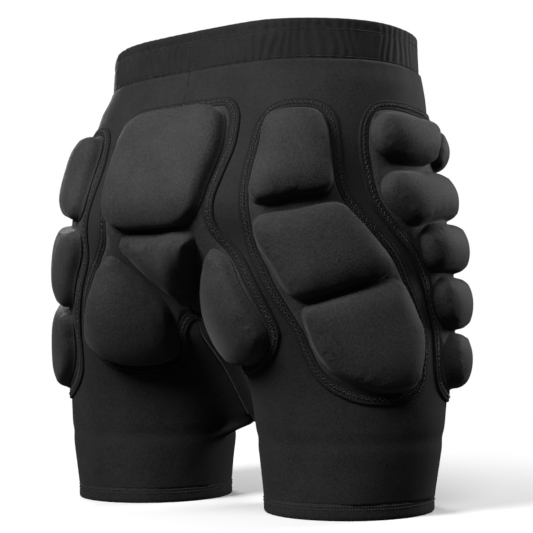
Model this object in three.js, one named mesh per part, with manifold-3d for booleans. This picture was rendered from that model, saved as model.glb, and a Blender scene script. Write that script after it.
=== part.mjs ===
// Padded impact shorts: stretch shorts with five sewn-on pad groups, in millimetres, +Z up.
// The leg hems stand on z = 0, x = 0 is the plane of symmetry, +X is the wearer's left and +Y is the back.
//
// Everything hangs on one body surface. A place on it is (s, z): s is the distance round the garment from the
// centre-back line (positive on the left, negative on the right) and z is the height. A third number, off,
// is the distance out from the surface. Flat shapes are drawn in (s, z, off) and then wrapped onto the body.

import * as THREE from 'three';
import { mergeVertices } from 'three/addons/utils/BufferGeometryUtils.js';
import Module from 'manifold-3d';

// ---------------------------------------------------------------- driving dimensions

// Heights of the garment's levels.
const HEM_TOP = 13;
const CROTCH = 73.5;
const BAND_BOTTOM = 377;
const BAND_TOP = 415;
const GAP = 0.3;

// Leg sections: centre and half sizes of an ellipse at each height.
const LEG_HEIGHTS = [0, 80, 165, 250, 330, 420];
const LEG_X = [108, 109, 101, 97, 81, 60];
const LEG_Y = [18, 16, 1, 1, 1, 1];
const LEG_HALF_WIDTH = [71, 83, 84, 81, 66, 53];
const LEG_HALF_DEPTH = [72, 78, 104, 102, 90, 76];

// Pelvis sections: a rounder-than-box oval on the plane of symmetry, that narrows below PELVIS_END.
const PELVIS_HEIGHTS = [120, 190, 250, 310, 370, 420];
const PELVIS_Y = [5, 5, 22, 4, -7, -9];
const PELVIS_HALF_WIDTH = [108, 133, 146, 164, 161, 147];
const PELVIS_HALF_DEPTH = [66, 91, 117, 118, 103, 98];
const PELVIS_POWER = 2.3;
const PELVIS_END = 150;

// Each buttock adds a round swelling to the back.
const BUTTOCK = { x: 72, z: 195, width: 52, height: 62, rise: 25, fadeIn: 60 };

// How softly legs and pelvis run into each other.
const BLEND = 9;

// The sections are drawn round the wearer's hips. The whole object is then moved forward by this much, so that
// the origin is under the middle of its overall box.
const CENTRE_Y = 18.4;

// Layers, as distances out from the body surface.
const PANEL = [-1.6, -0.4];
const HEM = [-2.4, 0];
const LINER = [2.7, 3.3];
const FOAM_BASE = 3.9;
const WEB = [3.6, 4.6];
const SEAM = [4.9, 5.7];
const COVER_THICKNESS = 1;
const SEAM_WIDTH = 7;

// A moulded dome, above the web: a steep rounded side up to a shoulder, then a low crown.
const DOME_HEIGHT = 15;
const SHOULDER_HEIGHT = 11.5;
const SHOULDER_INSET = 4.5;
const CORE = 0.45;
const FOAM_MARGIN = 1;

// Waistband: a folded casing that holds an elastic and a round drawstring.
const CASING_OUT = 1.2;
const CASING_IN = -6.3;
const PLY = 1;
const ELASTIC_THICKNESS = 1.6;
const ELASTIC_HEIGHT = 30;
const CORD_RADIUS = 1.3;
const EYELET_X = 16;
const EYELET_DROP = 17;
const EYELET_HOLE = 2.2;
const EYELET_BARREL = 2.8;
const EYELET_FLANGE = 5;
const EYELET_SHEET = 0.5;
const EYELET_CLEARANCE = 0.45;
const CORD_LENGTH = 105;
const CORD_SLOPE = 0.06;
const CORD_SPREAD = 8;
const KNOT_RADIUS = 4;

// The hip crease: the bend runs between two slanting planes on each side. They face along CREASE_DIRECTION,
// and start and end at these distances along it.
const CREASE_DIRECTION = new THREE.Vector3(0.766, 0, -0.643);
const CREASE_START = -43;
const CREASE_END = 19;

// Mesh fineness.
const AROUND = 20;
const SAMPLES = 160;
const SEARCH_STEP = 4;
const SEARCH_END = 260;
const SLIVER = 0.2;
const FOAM_POINTS = 12;
const LEG_ROWS = [32, 53];
const CROTCH_ROWS = [2.5, 8];
const SEAT_ROWS = 15;

// ---------------------------------------------------------------- materials

const material = (color, roughness, metalness = 0) =>
  new THREE.MeshStandardMaterial({ color, roughness, metalness });

const shellFabric = () => material(0x17181a, 0.85);
const coverFabric = () => material(0x1c1d20, 0.8);
const bandFabric = () => material(0x141517, 0.85);
const linerMesh = () => material(0x101112, 0.9);
const seamThread = () => material(0x0d0e0f, 0.8);
const foam = () => material(0x2b2c2f, 0.95);
const elasticWeb = () => material(0x1a1a1c, 0.85);
const cordBraid = () => material(0x121213, 0.8);
const eyeletMetal = () => material(0x2a2b2e, 0.4, 0.9);

// ---------------------------------------------------------------- the body surface

/** A smooth curve through (heights, values), read at z. */
function profile(heights, values, z) {
  const last = heights.length - 1;
  const at = Math.min(Math.max(z, heights[0]), heights[last]);
  const rise = (k) => (values[k + 1] - values[k]) / (heights[k + 1] - heights[k]);
  const slope = (k) => {
    if (k === 0) return rise(0);
    if (k === last) return rise(last - 1);
    return (rise(k - 1) + rise(k)) / 2;
  };
  let i = 0;
  while (i < last - 1 && at >= heights[i + 1]) i += 1;
  const span = heights[i + 1] - heights[i];
  const t = (at - heights[i]) / span;
  const start = (1 + 2 * t) * (1 - t) ** 2 * values[i] + t * (1 - t) ** 2 * span * slope(i);
  const end = t * t * (3 - 2 * t) * values[i + 1] - t * t * (1 - t) * span * slope(i + 1);
  return start + end;
}

/** The sizes of the legs and the pelvis at height z. */
function sectionAt(z) {
  return {
    z,
    legX: profile(LEG_HEIGHTS, LEG_X, z),
    legY: profile(LEG_HEIGHTS, LEG_Y, z),
    legWidth: profile(LEG_HEIGHTS, LEG_HALF_WIDTH, z),
    legDepth: profile(LEG_HEIGHTS, LEG_HALF_DEPTH, z),
    pelvisY: profile(PELVIS_HEIGHTS, PELVIS_Y, z),
    pelvisWidth: profile(PELVIS_HEIGHTS, PELVIS_HALF_WIDTH, z),
    pelvisDepth: profile(PELVIS_HEIGHTS, PELVIS_HALF_DEPTH, z),
  };
}

/** Roughly the distance out from the body surface: negative inside, 0 on it. */
function bodyDistance(x, y, section) {
  const legSize = (section.legWidth + section.legDepth) / 2;
  const leg = (side) =>
    (Math.hypot((x - side * section.legX) / section.legWidth, (y - section.legY) / section.legDepth) - 1) * legSize;
  const across = Math.abs(x / section.pelvisWidth) ** PELVIS_POWER;
  const along = Math.abs((y - section.pelvisY) / section.pelvisDepth) ** PELVIS_POWER;
  const pelvisSize = (section.pelvisWidth + section.pelvisDepth) / 2;
  const pelvis = ((across + along) ** (1 / PELVIS_POWER) - 1) * pelvisSize + Math.max(0, PELVIS_END - section.z);
  const parts = [leg(1), leg(-1), pelvis];
  const nearest = Math.min(...parts);
  const sum = parts.reduce((total, part) => total + Math.exp((nearest - part) / BLEND), 0);
  const bump = ((Math.abs(x) - BUTTOCK.x) / BUTTOCK.width) ** 2 + ((section.z - BUTTOCK.z) / BUTTOCK.height) ** 2;
  const back = Math.min(Math.max(y / BUTTOCK.fadeIn, 0), 1);
  return nearest - BLEND * Math.log(sum) - BUTTOCK.rise * back * Math.exp(-bump);
}

/** The outward direction of the surface at a point near it. */
function outwardAt(point) {
  const step = 0.5;
  const distance = (x, y, z) => bodyDistance(x, y, sectionAt(z));
  return new THREE.Vector3(
    distance(point.x + step, point.y, point.z) - distance(point.x - step, point.y, point.z),
    distance(point.x, point.y + step, point.z) - distance(point.x, point.y - step, point.z),
    distance(point.x, point.y, point.z + step) - distance(point.x, point.y, point.z - step),
  ).normalize();
}

/** Halves the span between a distance inside the surface and one outside until the crossing is found. */
function crossing(near, far, isOutside) {
  for (let i = 0; i < 26; i += 1) {
    const middle = (near + far) / 2;
    if (isOutside(middle)) far = middle;
    else near = middle;
  }
  return (near + far) / 2;
}

/** The distance on the middle plane from the pelvis's centre, forward (-1) or back (1), to the first crossing. */
function centreReach(direction, section) {
  const isOutside = (distance) => bodyDistance(0, section.pelvisY + direction * distance, section) > 0;
  let far = SEARCH_STEP;
  while (far < SEARCH_END && !isOutside(far)) far += SEARCH_STEP;
  return crossing(far - SEARCH_STEP, far, isOutside);
}

/** The distance from the leg's centre outward to the surface, or to the middle plane where that comes first. */
function legReach(angle, section) {
  const [dx, dy] = [Math.cos(angle), Math.sin(angle)];
  const isOutside = (distance) => (
    bodyDistance(section.legX + dx * distance, section.legY + dy * distance, section) > 0
  );
  const far = dx < 0 ? Math.min(SEARCH_END, -section.legX / dx) : SEARCH_END;
  return isOutside(far) ? crossing(0, far, isOutside) : far;
}

const halfCurves = new Map();

/** The left half of the garment's section at height z: points from centre front, round the outside, to centre
 *  back, with the distance along the curve. Below the crotch it is the whole left leg, from the inseam round. */
function halfCurve(z) {
  const key = z.toFixed(3);
  if (halfCurves.has(key)) return halfCurves.get(key);
  const section = sectionAt(z);
  const { legX, legY, pelvisY } = section;
  let first = Math.atan2(pelvisY - legY, -legX);
  if (first > 0) first -= 2 * Math.PI;
  let lastAngle = first + 2 * Math.PI;
  const ends = new Map();
  if (z > CROTCH) {
    ends.set(0, pelvisY - centreReach(-1, section));
    ends.set(SAMPLES, pelvisY + centreReach(1, section));
    first = Math.atan2(ends.get(0) - legY, -legX);
    lastAngle = Math.atan2(ends.get(SAMPLES) - legY, -legX);
    if (lastAngle < 0) lastAngle += 2 * Math.PI;
  }
  const points = [];
  let length = 0;
  for (let i = 0; i <= SAMPLES; i += 1) {
    const angle = first + ((lastAngle - first) * i) / SAMPLES;
    const radius = legReach(angle, section);
    const x = ends.has(i) ? 0 : Math.max(0, legX + radius * Math.cos(angle));
    const y = ends.get(i) ?? legY + radius * Math.sin(angle);
    if (i > 0) length += Math.hypot(x - points[i - 1].x, y - points[i - 1].y);
    points.push({ x, y, length });
  }
  const curve = { points, length };
  halfCurves.set(key, curve);
  return curve;
}

/** The point at a distance s back along the left half curve from its centre-back end. */
function curvePoint(s, z) {
  const { points, length } = halfCurve(z);
  const along = Math.min(Math.max(length - s, 0), length);
  let low = 0;
  let high = points.length - 1;
  while (high - low > 1) {
    const middle = (low + high) >> 1;
    if (points[middle].length > along) high = middle;
    else low = middle;
  }
  const t = (along - points[low].length) / Math.max(points[high].length - points[low].length, 1e-9);
  const x = THREE.MathUtils.lerp(points[low].x, points[high].x, t);
  const y = THREE.MathUtils.lerp(points[low].y, points[high].y, t);
  return new THREE.Vector3(x, y, z);
}

/** The point in space at (s, z), a distance off out from the surface. */
function surfacePoint(s, z, off) {
  const point = curvePoint(Math.abs(s), z);
  point.addScaledVector(outwardAt(point), off);
  if (s < 0) point.x = -point.x;
  return point;
}

// ---------------------------------------------------------------- solid builders

/** A closed solid from a list of indexed triangles. */
function solidFromTriangles(vertices, triangles) {
  const geometry = new THREE.BufferGeometry();
  const numbers = vertices.flatMap((v) => [v.x, v.y, v.z]);
  geometry.setAttribute('position', new THREE.Float32BufferAttribute(numbers, 3));
  geometry.setIndex(triangles);
  return geometry;
}

/** A solid made of rings of equally many points, closed at both ends by a point. */
function ringSolid(rings, startPoint, endPoint) {
  const count = rings[0].length;
  const vertices = [...rings.flat(), startPoint, endPoint];
  const start = vertices.length - 2;
  const end = vertices.length - 1;
  const triangles = [];
  for (let j = 0; j < count; j += 1) {
    const next = (j + 1) % count;
    triangles.push(start, next, j);
    for (let i = 0; i < rings.length - 1; i += 1) {
      const a = i * count + j;
      const b = i * count + next;
      triangles.push(a, b, b + count, a, b + count, a + count);
    }
    const base = (rings.length - 1) * count;
    triangles.push(end, base + j, base + next);
  }
  return solidFromTriangles(vertices, triangles);
}

/** A closed loop of equal cross-sections: stations.length cross-sections, each a closed list of points. */
function loopSolid(stations) {
  const around = stations.length;
  const count = stations[0].length;
  const triangles = [];
  for (let i = 0; i < around; i += 1) {
    const nextStation = (i + 1) % around;
    for (let j = 0; j < count; j += 1) {
      const next = (j + 1) % count;
      const a = i * count + j;
      const b = i * count + next;
      const c = nextStation * count + next;
      const d = nextStation * count + j;
      triangles.push(a, c, b, a, d, c);
    }
  }
  return solidFromTriangles(stations.flat(), triangles);
}

const wasm = await Module();
wasm.setup();

/** A manifold from a three.js geometry, for a boolean. */
function toManifold(geometry) {
  const bare = geometry.clone();
  bare.deleteAttribute('normal');
  bare.deleteAttribute('uv');
  const merged = mergeVertices(bare, 1e-4);
  return new wasm.Manifold(new wasm.Mesh({
    numProp: 3,
    vertProperties: Float32Array.from(merged.attributes.position.array),
    triVerts: Uint32Array.from(merged.index.array),
  }));
}

/** A three.js geometry from a manifold, without the slivers that a cut leaves. */
function fromManifold(solid) {
  const mesh = solid.simplify(SLIVER).getMesh();
  const geometry = new THREE.BufferGeometry();
  geometry.setAttribute('position', new THREE.Float32BufferAttribute(mesh.vertProperties, 3));
  geometry.setIndex(new THREE.Uint32BufferAttribute(mesh.triVerts, 1));
  return geometry;
}

/** Wraps a geometry drawn in (s, z, off) onto the body. The frame (s, z, off) is left-handed there, so the
 *  triangles are turned over. */
function wrap(geometry) {
  const place = geometry.attributes.position;
  for (let i = 0; i < place.count; i += 1) {
    const point = surfacePoint(place.getX(i), place.getY(i), place.getZ(i));
    place.setXYZ(i, point.x, point.y, point.z);
  }
  flip(geometry);
  return geometry;
}

/** Turns every triangle over. */
function flip(geometry) {
  const index = geometry.index.array;
  for (let i = 0; i < index.length; i += 3) {
    const kept = index[i + 1];
    index[i + 1] = index[i + 2];
    index[i + 2] = kept;
  }
}

// ---------------------------------------------------------------- outlines in (s, z)

/** A smooth closed outline through a few points, anticlockwise, as equally spaced points. */
function smoothOutline(corners, count) {
  const path = corners.map(([s, z]) => new THREE.Vector3(s, z, 0));
  const curve = new THREE.CatmullRomCurve3(path, true, 'centripetal');
  const points = curve.getSpacedPoints(count).slice(0, count).map((p) => new THREE.Vector2(p.x, p.y));
  return THREE.ShapeUtils.area(points) > 0 ? points : points.reverse();
}

/** The outline moved inward by a distance (outward when it is negative). */
function inset(points, distance) {
  return points.map((point, i) => {
    const before = points[(i + points.length - 1) % points.length];
    const after = points[(i + 1) % points.length];
    const tangent = after.clone().sub(before).normalize();
    return new THREE.Vector2(point.x - tangent.y * distance, point.y + tangent.x * distance);
  });
}

/** The middle of an outline's points. */
const centreOf = (points) => points
  .reduce((sum, p) => sum.add(p), new THREE.Vector2())
  .divideScalar(points.length);

// ---------------------------------------------------------------- pad groups

// Foam blocks, by group. Front rows run round the thigh from its outer side.
const BACK_FOAMS = {
  sacrum: [[-36, 339], [0, 340], [36, 339], [50, 331], [56, 308], [54, 275], [48, 249], [36, 242],
    [0, 241], [-36, 242], [-48, 249], [-54, 275], [-56, 308], [-50, 331]],
  tailbone: [[0, 236], [28, 236], [40, 231], [36, 220], [10, 183], [0, 177], [-10, 183], [-36, 220],
    [-40, 231], [-28, 236]],
};
const BUTTOCK_FOAM = [[56, 219], [69, 213], [85, 192], [97, 172], [104, 152], [100, 137], [88, 128],
  [58, 127], [36, 137], [25, 156], [23, 174], [33, 192], [45, 208]];
const HIP_FOAMS = {
  upper: [[98, 328], [131, 328], [139, 319], [148, 292], [156, 267], [151, 261], [126, 257], [99, 253],
    [93, 260], [92, 290], [92, 322]],
  middle: [[99, 241], [130, 247], [164, 252], [178, 240], [193, 221], [207, 203], [204, 194], [176, 186],
    [147, 178], [133, 178], [114, 199], [99, 219], [96, 234]],
  lower: [[139, 169], [150, 173], [185, 183], [216, 191], [227, 176], [233, 152], [235, 125], [232, 108],
    [222, 103], [203, 103], [176, 112], [153, 128], [139, 150]],
};
const FRONT_FOAMS = {
  row_1_outer: [[194, 331], [225, 331], [260, 330], [267, 318], [264, 296], [240, 290], [210, 290], [189, 299],
    [181, 314], [184, 326]],
  row_1_inner: [[284, 329], [320, 328], [337, 323], [342, 311], [339, 299], [324, 294], [286, 293], [277, 302],
    [277, 320]],
  row_2: [[207, 279], [235, 283], [290, 286], [338, 285], [348, 276], [348, 260], [338, 250], [290, 247],
    [258, 242], [232, 237], [217, 246], [202, 262], [201, 272]],
  row_3: [[254, 238], [290, 241], [350, 243], [376, 240], [384, 228], [384, 214], [374, 204], [350, 202],
    [290, 201], [256, 202], [245, 212], [242, 228]],
  row_4: [[272, 194], [310, 196], [350, 197], [382, 195], [392, 185], [392, 165], [382, 155], [350, 153],
    [310, 152], [278, 153], [267, 162], [265, 184]],
  row_5: [[282, 146], [315, 148], [350, 148], [380, 147], [390, 138], [390, 114], [380, 104], [350, 102],
    [315, 102], [290, 105], [277, 115], [273, 134]],
};

// Outer edges of the covers. The back cover is drawn for the left half and mirrored.
const BACK_EDGE = [[0, 350], [30, 350], [52, 348], [64, 334], [68, 308], [65, 278], [62, 254], [65, 236],
  [76, 223], [93, 202], [107, 181], [115, 158], [114, 138], [106, 124], [90, 116], [62, 115], [36, 122],
  [20, 137], [12, 154], [0, 163]];
const HIP_EDGE = [[96, 340], [132, 340], [147, 328], [157, 303], [169, 270], [185, 248], [201, 231], [218, 213],
  [233, 194], [244, 174], [248, 149], [249, 122], [245, 103], [232, 94], [196, 92], [164, 103], [145, 118],
  [129, 143], [120, 165], [105, 190], [89, 214], [85, 240], [80, 290], [84, 328]];
const FRONT_EDGE = [[190, 343], [260, 342], [330, 339], [350, 333], [357, 312], [360, 275], [368, 256],
  [392, 244], [402, 220], [405, 170], [403, 120], [396, 98], [372, 91], [320, 90], [288, 92], [266, 103],
  [259, 124], [256, 152], [252, 182], [234, 207], [211, 231], [194, 252], [183, 275], [172, 302], [170, 325],
  [176, 338]];

/** Both halves of an outline that is drawn for the left and crosses the centre-back line. */
function mirroredCorners(half) {
  const right = half.filter(([s]) => s > 0).map(([s, z]) => [-s, z]).reverse();
  return [...half, ...right];
}

/** Triangles between an outer ring of points and an inner one, given the index of each ring's first point. Each
 *  diagonal runs from an outer point to the next inner one. Swapping the rings turns the triangles over. */
function strip(outer, inner, count) {
  const triangles = [];
  for (let j = 0; j < count; j += 1) {
    const next = (j + 1) % count;
    triangles.push([outer + j, outer + next, inner + next], [outer + j, inner + next, inner + j]);
  }
  return triangles;
}

/** Triangles from a ring of points to one point in its middle. */
function fan(ring, middle, count) {
  return Array.from({ length: count }, (_, j) => [ring + j, ring + ((j + 1) % count), middle]);
}

/** The flat region inside a contour and outside some holes, as well-shaped triangles of point indices, where the
 *  contour's points come first and the holes' follow. Long thin triangles are swapped for better ones (Delaunay). */
function fillRegion(contour, holes) {
  const points = [...contour, ...holes.flat()];
  const triangles = THREE.ShapeUtils.triangulateShape(contour, holes).map((t) => [...t]);
  const fixed = new Set();
  let first = 0;
  for (const loop of [contour, ...holes]) {
    loop.forEach((_, j) => {
      const a = first + j;
      const b = first + ((j + 1) % loop.length);
      fixed.add(`${a},${b}`).add(`${b},${a}`);
    });
    first += loop.length;
  }
  const turn = (a, b, c) => (points[b].x - points[a].x) * (points[c].y - points[a].y)
    - (points[b].y - points[a].y) * (points[c].x - points[a].x);
  for (const triangle of triangles) if (turn(...triangle) < 0) triangle.reverse();
  const angleAt = (a, b, c) => {
    const u = points[b].clone().sub(points[a]);
    const v = points[c].clone().sub(points[a]);
    return Math.acos(Math.min(Math.max(u.dot(v) / (u.length() * v.length()), -1), 1));
  };
  let swapped = true;
  for (let pass = 0; swapped && pass < 40; pass += 1) {
    swapped = false;
    const owner = new Map();
    triangles.forEach((triangle, t) => triangle.forEach((a, k) => owner.set(`${a},${triangle[(k + 1) % 3]}`, t)));
    const touched = new Set();
    for (const [edge, t] of owner) {
      const [a, b] = edge.split(',').map(Number);
      const other = owner.get(`${b},${a}`);
      if (fixed.has(edge) || other === undefined || touched.has(t) || touched.has(other)) continue;
      const c = triangles[t].find((v) => v !== a && v !== b);
      const d = triangles[other].find((v) => v !== a && v !== b);
      const convex = turn(c, d, b) > 0 && turn(d, c, a) > 0;
      if (convex && angleAt(c, a, b) + angleAt(d, a, b) > Math.PI + 1e-6) {
        triangles[t] = [c, d, b];
        triangles[other] = [d, c, a];
        touched.add(t).add(other);
        swapped = true;
      }
    }
  }
  return triangles;
}

/** A closed sheet: the same triangles between a lower and an upper set of points, walled round the edge. */
function sheet(lower, upper, triangles) {
  const top = lower.length;
  const edges = new Set(triangles.flatMap(([a, b, c]) => [`${a},${b}`, `${b},${c}`, `${c},${a}`]));
  const faces = [];
  for (const [a, b, c] of triangles) {
    faces.push(top + a, top + b, top + c, a, c, b);
    for (const [from, to] of [[a, b], [b, c], [c, a]]) {
      if (!edges.has(`${to},${from}`)) faces.push(from, to, top + to, from, top + to, top + from);
    }
  }
  const used = [...new Set(faces)].sort((m, n) => m - n);
  const place = new Map(used.map((old, i) => [old, i]));
  const vertices = [...lower, ...upper];
  return solidFromTriangles(used.map((i) => vertices[i]), faces.map((i) => place.get(i)));
}

/** The nodes of one pad group: foams, cover, liner and sewn seam. All layers share one pattern of points in (s, z),
 *  so that they lie flat on each other. */
function padGroup(name, foams, edge, edgeCount, side) {
  const group = new THREE.Group();
  const add = (nodeName, flat, finish) => {
    const geometry = wrap(flat);
    if (side < 0) {
      geometry.scale(-1, 1, 1);
      flip(geometry);
    }
    group.add(named(nodeName, geometry, finish));
  };
  const rim = smoothOutline(edge, edgeCount);
  const inner = inset(rim, SEAM_WIDTH);
  const outlines = Object.values(foams).map((corners) => smoothOutline(corners, FOAM_POINTS));
  const base = [...rim, ...inner, ...outlines.flat()];
  const bandFaces = strip(0, edgeCount, edgeCount);
  const webFaces = fillRegion(inner, outlines).map((face) => face.map((i) => i + edgeCount));
  const firstOutline = 2 * edgeCount;

  const core = (points) => points.map((p) => p.clone().lerp(centreOf(points), CORE));
  const raise = (points, off) => points.map((p) => new THREE.Vector3(p.x, p.y, off));

  const linerFlat = [...base, ...outlines.flatMap((outline) => [...core(outline), centreOf(outline)])];
  const linerFaces = outlines.flatMap((_, i) => {
    const ring = base.length + i * (FOAM_POINTS + 1);
    const around = strip(ring, firstOutline + i * FOAM_POINTS, FOAM_POINTS).map((face) => face.reverse());
    return [...around, ...fan(ring, ring + FOAM_POINTS, FOAM_POINTS)];
  });
  const allFaces = [...bandFaces, ...webFaces, ...linerFaces];
  add(`${name}_liner`, sheet(raise(linerFlat, LINER[0]), raise(linerFlat, LINER[1]), allFaces), linerMesh());
  add(`${name}_seam`, sheet(raise(base, SEAM[0]), raise(base, SEAM[1]), bandFaces), seamThread());

  const dome = (outline, shrink) => [
    ...raise(inset(outline, SHOULDER_INSET + shrink), WEB[1] + SHOULDER_HEIGHT - shrink),
    ...raise(core(outline), WEB[1] + DOME_HEIGHT - shrink),
    ...raise([centreOf(outline)], WEB[1] + DOME_HEIGHT - shrink),
  ];
  const domeFaces = outlines.flatMap((_, i) => {
    const shoulder = base.length + i * (2 * FOAM_POINTS + 1);
    const top = shoulder + FOAM_POINTS;
    return [
      ...strip(firstOutline + i * FOAM_POINTS, shoulder, FOAM_POINTS),
      ...strip(shoulder, top, FOAM_POINTS),
      ...fan(top, top + FOAM_POINTS, FOAM_POINTS),
    ];
  });
  const under = [...raise(base, WEB[0]), ...outlines.flatMap((outline) => dome(outline, COVER_THICKNESS))];
  const over = [...raise(base, WEB[1]), ...outlines.flatMap((outline) => dome(outline, 0))];
  add(`${name}_cover`, sheet(under, over, [...bandFaces, ...webFaces, ...domeFaces]), coverFabric());

  Object.keys(foams).forEach((foamName, i) => {
    const outline = outlines[i];
    const block = dome(outline, COVER_THICKNESS + GAP);
    const rings = [
      raise(core(outline), FOAM_BASE),
      raise(inset(outline, FOAM_MARGIN), FOAM_BASE),
      block.slice(0, FOAM_POINTS),
      block.slice(FOAM_POINTS, 2 * FOAM_POINTS),
    ];
    add(foamName, ringSolid(rings, raise([centreOf(outline)], FOAM_BASE)[0], block[2 * FOAM_POINTS]), foam());
  });
  return group;
}

// ---------------------------------------------------------------- panels and hems

/** Points at n + 1 equal steps round the left half curve, from centre front to centre back. */
function halfRow(z, off, n) {
  const { length } = halfCurve(z);
  const row = [];
  for (let j = 0; j <= n; j += 1) row.push(surfacePoint(length * (1 - j / n), z, off));
  return row;
}

/** The left half of one layer as a thin sheet: a tube round the leg, and above the crotch a half tube that is open
 *  at the plane of symmetry. A triangle under the crotch joins the last closed row to the first open one. */
function layerSheet([low, high]) {
  const below = [HEM_TOP + GAP, ...LEG_ROWS, CROTCH];
  const above = CROTCH_ROWS.map((rise) => CROTCH + rise);
  const height = BAND_BOTTOM - GAP - CROTCH;
  for (let i = 1; i <= SEAT_ROWS; i += 1) {
    const share = i / SEAT_ROWS;
    above.push(CROTCH + height * (0.75 * share + 0.25 * share ** 2));
  }
  const heights = [...below, ...above];
  const open = below.length;
  const layers = [high, low].map((off) => heights.map((z) => halfRow(z, off, AROUND)));
  for (const layer of layers) {
    layer.slice(0, open).forEach((row) => row[AROUND].copy(row[0]));
    layer.slice(open).forEach((row) => row[0].setX(0) && row[AROUND].setX(0));
  }
  const inner = heights.length * (AROUND + 1);
  const last = heights.length - 1;
  const at = (i, j) => i * (AROUND + 1) + j;
  const triangles = [];
  const quad = (a, b, c, d) => triangles.push(a, b, c, a, c, d);
  const wall = (a, b) => quad(inner + a, inner + b, b, a);
  for (let j = 0; j < AROUND; j += 1) {
    for (let i = 0; i < last; i += 1) {
      quad(at(i, j), at(i, j + 1), at(i + 1, j + 1), at(i + 1, j));
      quad(inner + at(i, j + 1), inner + at(i, j), inner + at(i + 1, j), inner + at(i + 1, j + 1));
    }
    wall(at(0, j), at(0, j + 1));
    wall(at(last, j + 1), at(last, j));
  }
  for (let i = open; i < last; i += 1) {
    wall(at(i + 1, 0), at(i, 0));
    wall(at(i, AROUND), at(i + 1, AROUND));
  }
  const [inseam, front, back] = [at(open - 1, 0), at(open, 0), at(open, AROUND)];
  triangles.push(inseam, front, back, inner + inseam, inner + back, inner + front);
  wall(front, back);
  return mergeVertices(solidFromTriangles(layers.flat(2), triangles), 1e-3);
}

/** A block that holds everything between two distances along the crease direction. */
function creaseBlock(low, high) {
  const size = 1200;
  const block = new THREE.BoxGeometry(size, size, high - low);
  const turn = new THREE.Quaternion().setFromUnitVectors(new THREE.Vector3(0, 0, 1), CREASE_DIRECTION);
  block.applyQuaternion(turn);
  const centre = CREASE_DIRECTION.clone().multiplyScalar((low + high) / 2);
  return block.translate(centre.x, centre.y, centre.z);
}

/** The shell of one side, cut at the hip crease into seat, crease and leg panels. */
function panels(sideName, side) {
  const group = new THREE.Group();
  const far = 900;
  const half = GAP / 2;
  const sheet = toManifold(layerSheet(PANEL).translate(half, 0, 0));
  const parts = {
    seat_panel: [-far, CREASE_START - half],
    crease_panel: [CREASE_START + half, CREASE_END - half],
    leg_panel: [CREASE_END + half, far],
  };
  for (const [name, [low, high]] of Object.entries(parts)) {
    const geometry = fromManifold(sheet.intersect(toManifold(creaseBlock(low, high))));
    if (side < 0) {
      geometry.scale(-1, 1, 1);
      flip(geometry);
    }
    group.add(named(`${sideName}_${name}`, geometry, shellFabric()));
  }
  return group;
}

/** The folded hem round one leg opening. It is upright, so that its lower edge is a flat ring on z = 0. */
function hem(side) {
  const outer = halfRow(HEM_TOP / 2, HEM[1], AROUND).slice(0, AROUND);
  const inner = halfRow(HEM_TOP / 2, HEM[0], AROUND).slice(0, AROUND);
  const stations = outer.map((point, j) => [
    new THREE.Vector3(side * point.x, point.y, 0),
    new THREE.Vector3(side * point.x, point.y, HEM_TOP),
    new THREE.Vector3(side * inner[j].x, inner[j].y, HEM_TOP),
    new THREE.Vector3(side * inner[j].x, inner[j].y, 0),
  ]);
  const geometry = loopSolid(stations);
  if (side < 0) flip(geometry);
  return geometry;
}

// ---------------------------------------------------------------- waistband

const WAIST_MIDDLE = (BAND_BOTTOM + BAND_TOP) / 2;

/** A closed band round the waist, from a cross-section given as (off, z) points, clockwise seen along the loop. */
function waistLoop(section, around) {
  const stations = [];
  for (let side = 1; side >= -1; side -= 2) {
    const { length } = halfCurve(WAIST_MIDDLE);
    for (let j = 0; j < around; j += 1) {
      const s = side > 0 ? length * (1 - j / around) : -length * (j / around);
      stations.push(section.map(([off, z]) => {
        const point = curvePoint(Math.abs(s), WAIST_MIDDLE);
        const out = outwardAt(point).setZ(0).normalize();
        const sideways = side > 0 ? 1 : -1;
        return new THREE.Vector3(sideways * (point.x + out.x * off), point.y + out.y * off, z);
      }));
    }
  }
  return loopSolid(stations);
}

/** The casing: outer ply, folded top and inner ply, open below. */
function casing() {
  const inner = CASING_IN;
  const outer = CASING_OUT;
  const top = BAND_TOP;
  const section = [
    [outer, BAND_BOTTOM], [outer, top - 1.5], [outer - 1.5, top], [inner + 1.5, top], [inner, top - 1.5],
    [inner, BAND_BOTTOM], [inner + PLY, BAND_BOTTOM], [inner + PLY, top - PLY - 1],
    [outer - PLY, top - PLY - 1], [outer - PLY, BAND_BOTTOM],
  ];
  const band = toManifold(waistLoop(section, AROUND));
  const holes = [1, -1].map((side) => toManifold(eyeletHole(side)));
  return fromManifold(holes.reduce((solid, hole) => solid.subtract(hole), band));
}

/** A rectangular waist cross-section between two offs and two heights. */
const bandSection = ([low, high], bottom, top) => [[high, bottom], [high, top], [low, top], [low, bottom]];

/** Where an eyelet sits, and its outward direction, on one side of the centre front. */
function eyeletPlace(side) {
  const z = BAND_TOP - EYELET_DROP;
  const { length } = halfCurve(WAIST_MIDDLE);
  const point = curvePoint(length - EYELET_X, WAIST_MIDDLE);
  const out = outwardAt(point).setZ(0).normalize();
  return {
    point: new THREE.Vector3(side * (point.x + out.x * CASING_OUT), point.y + out.y * CASING_OUT, z),
    out: new THREE.Vector3(side * out.x, out.y, 0),
  };
}

/** Moves a shape that is turned round +Y and centred on the origin to an eyelet, with +Y pointing out. */
function toEyelet(geometry, side) {
  const { point, out } = eyeletPlace(side);
  geometry.applyQuaternion(new THREE.Quaternion().setFromUnitVectors(new THREE.Vector3(0, 1, 0), out));
  return geometry.translate(point.x, point.y, point.z);
}

const eyeletHole = (side) => {
  const radius = EYELET_BARREL + GAP;
  return toEyelet(new THREE.CylinderGeometry(radius, radius, 6, 10), side);
};

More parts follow.
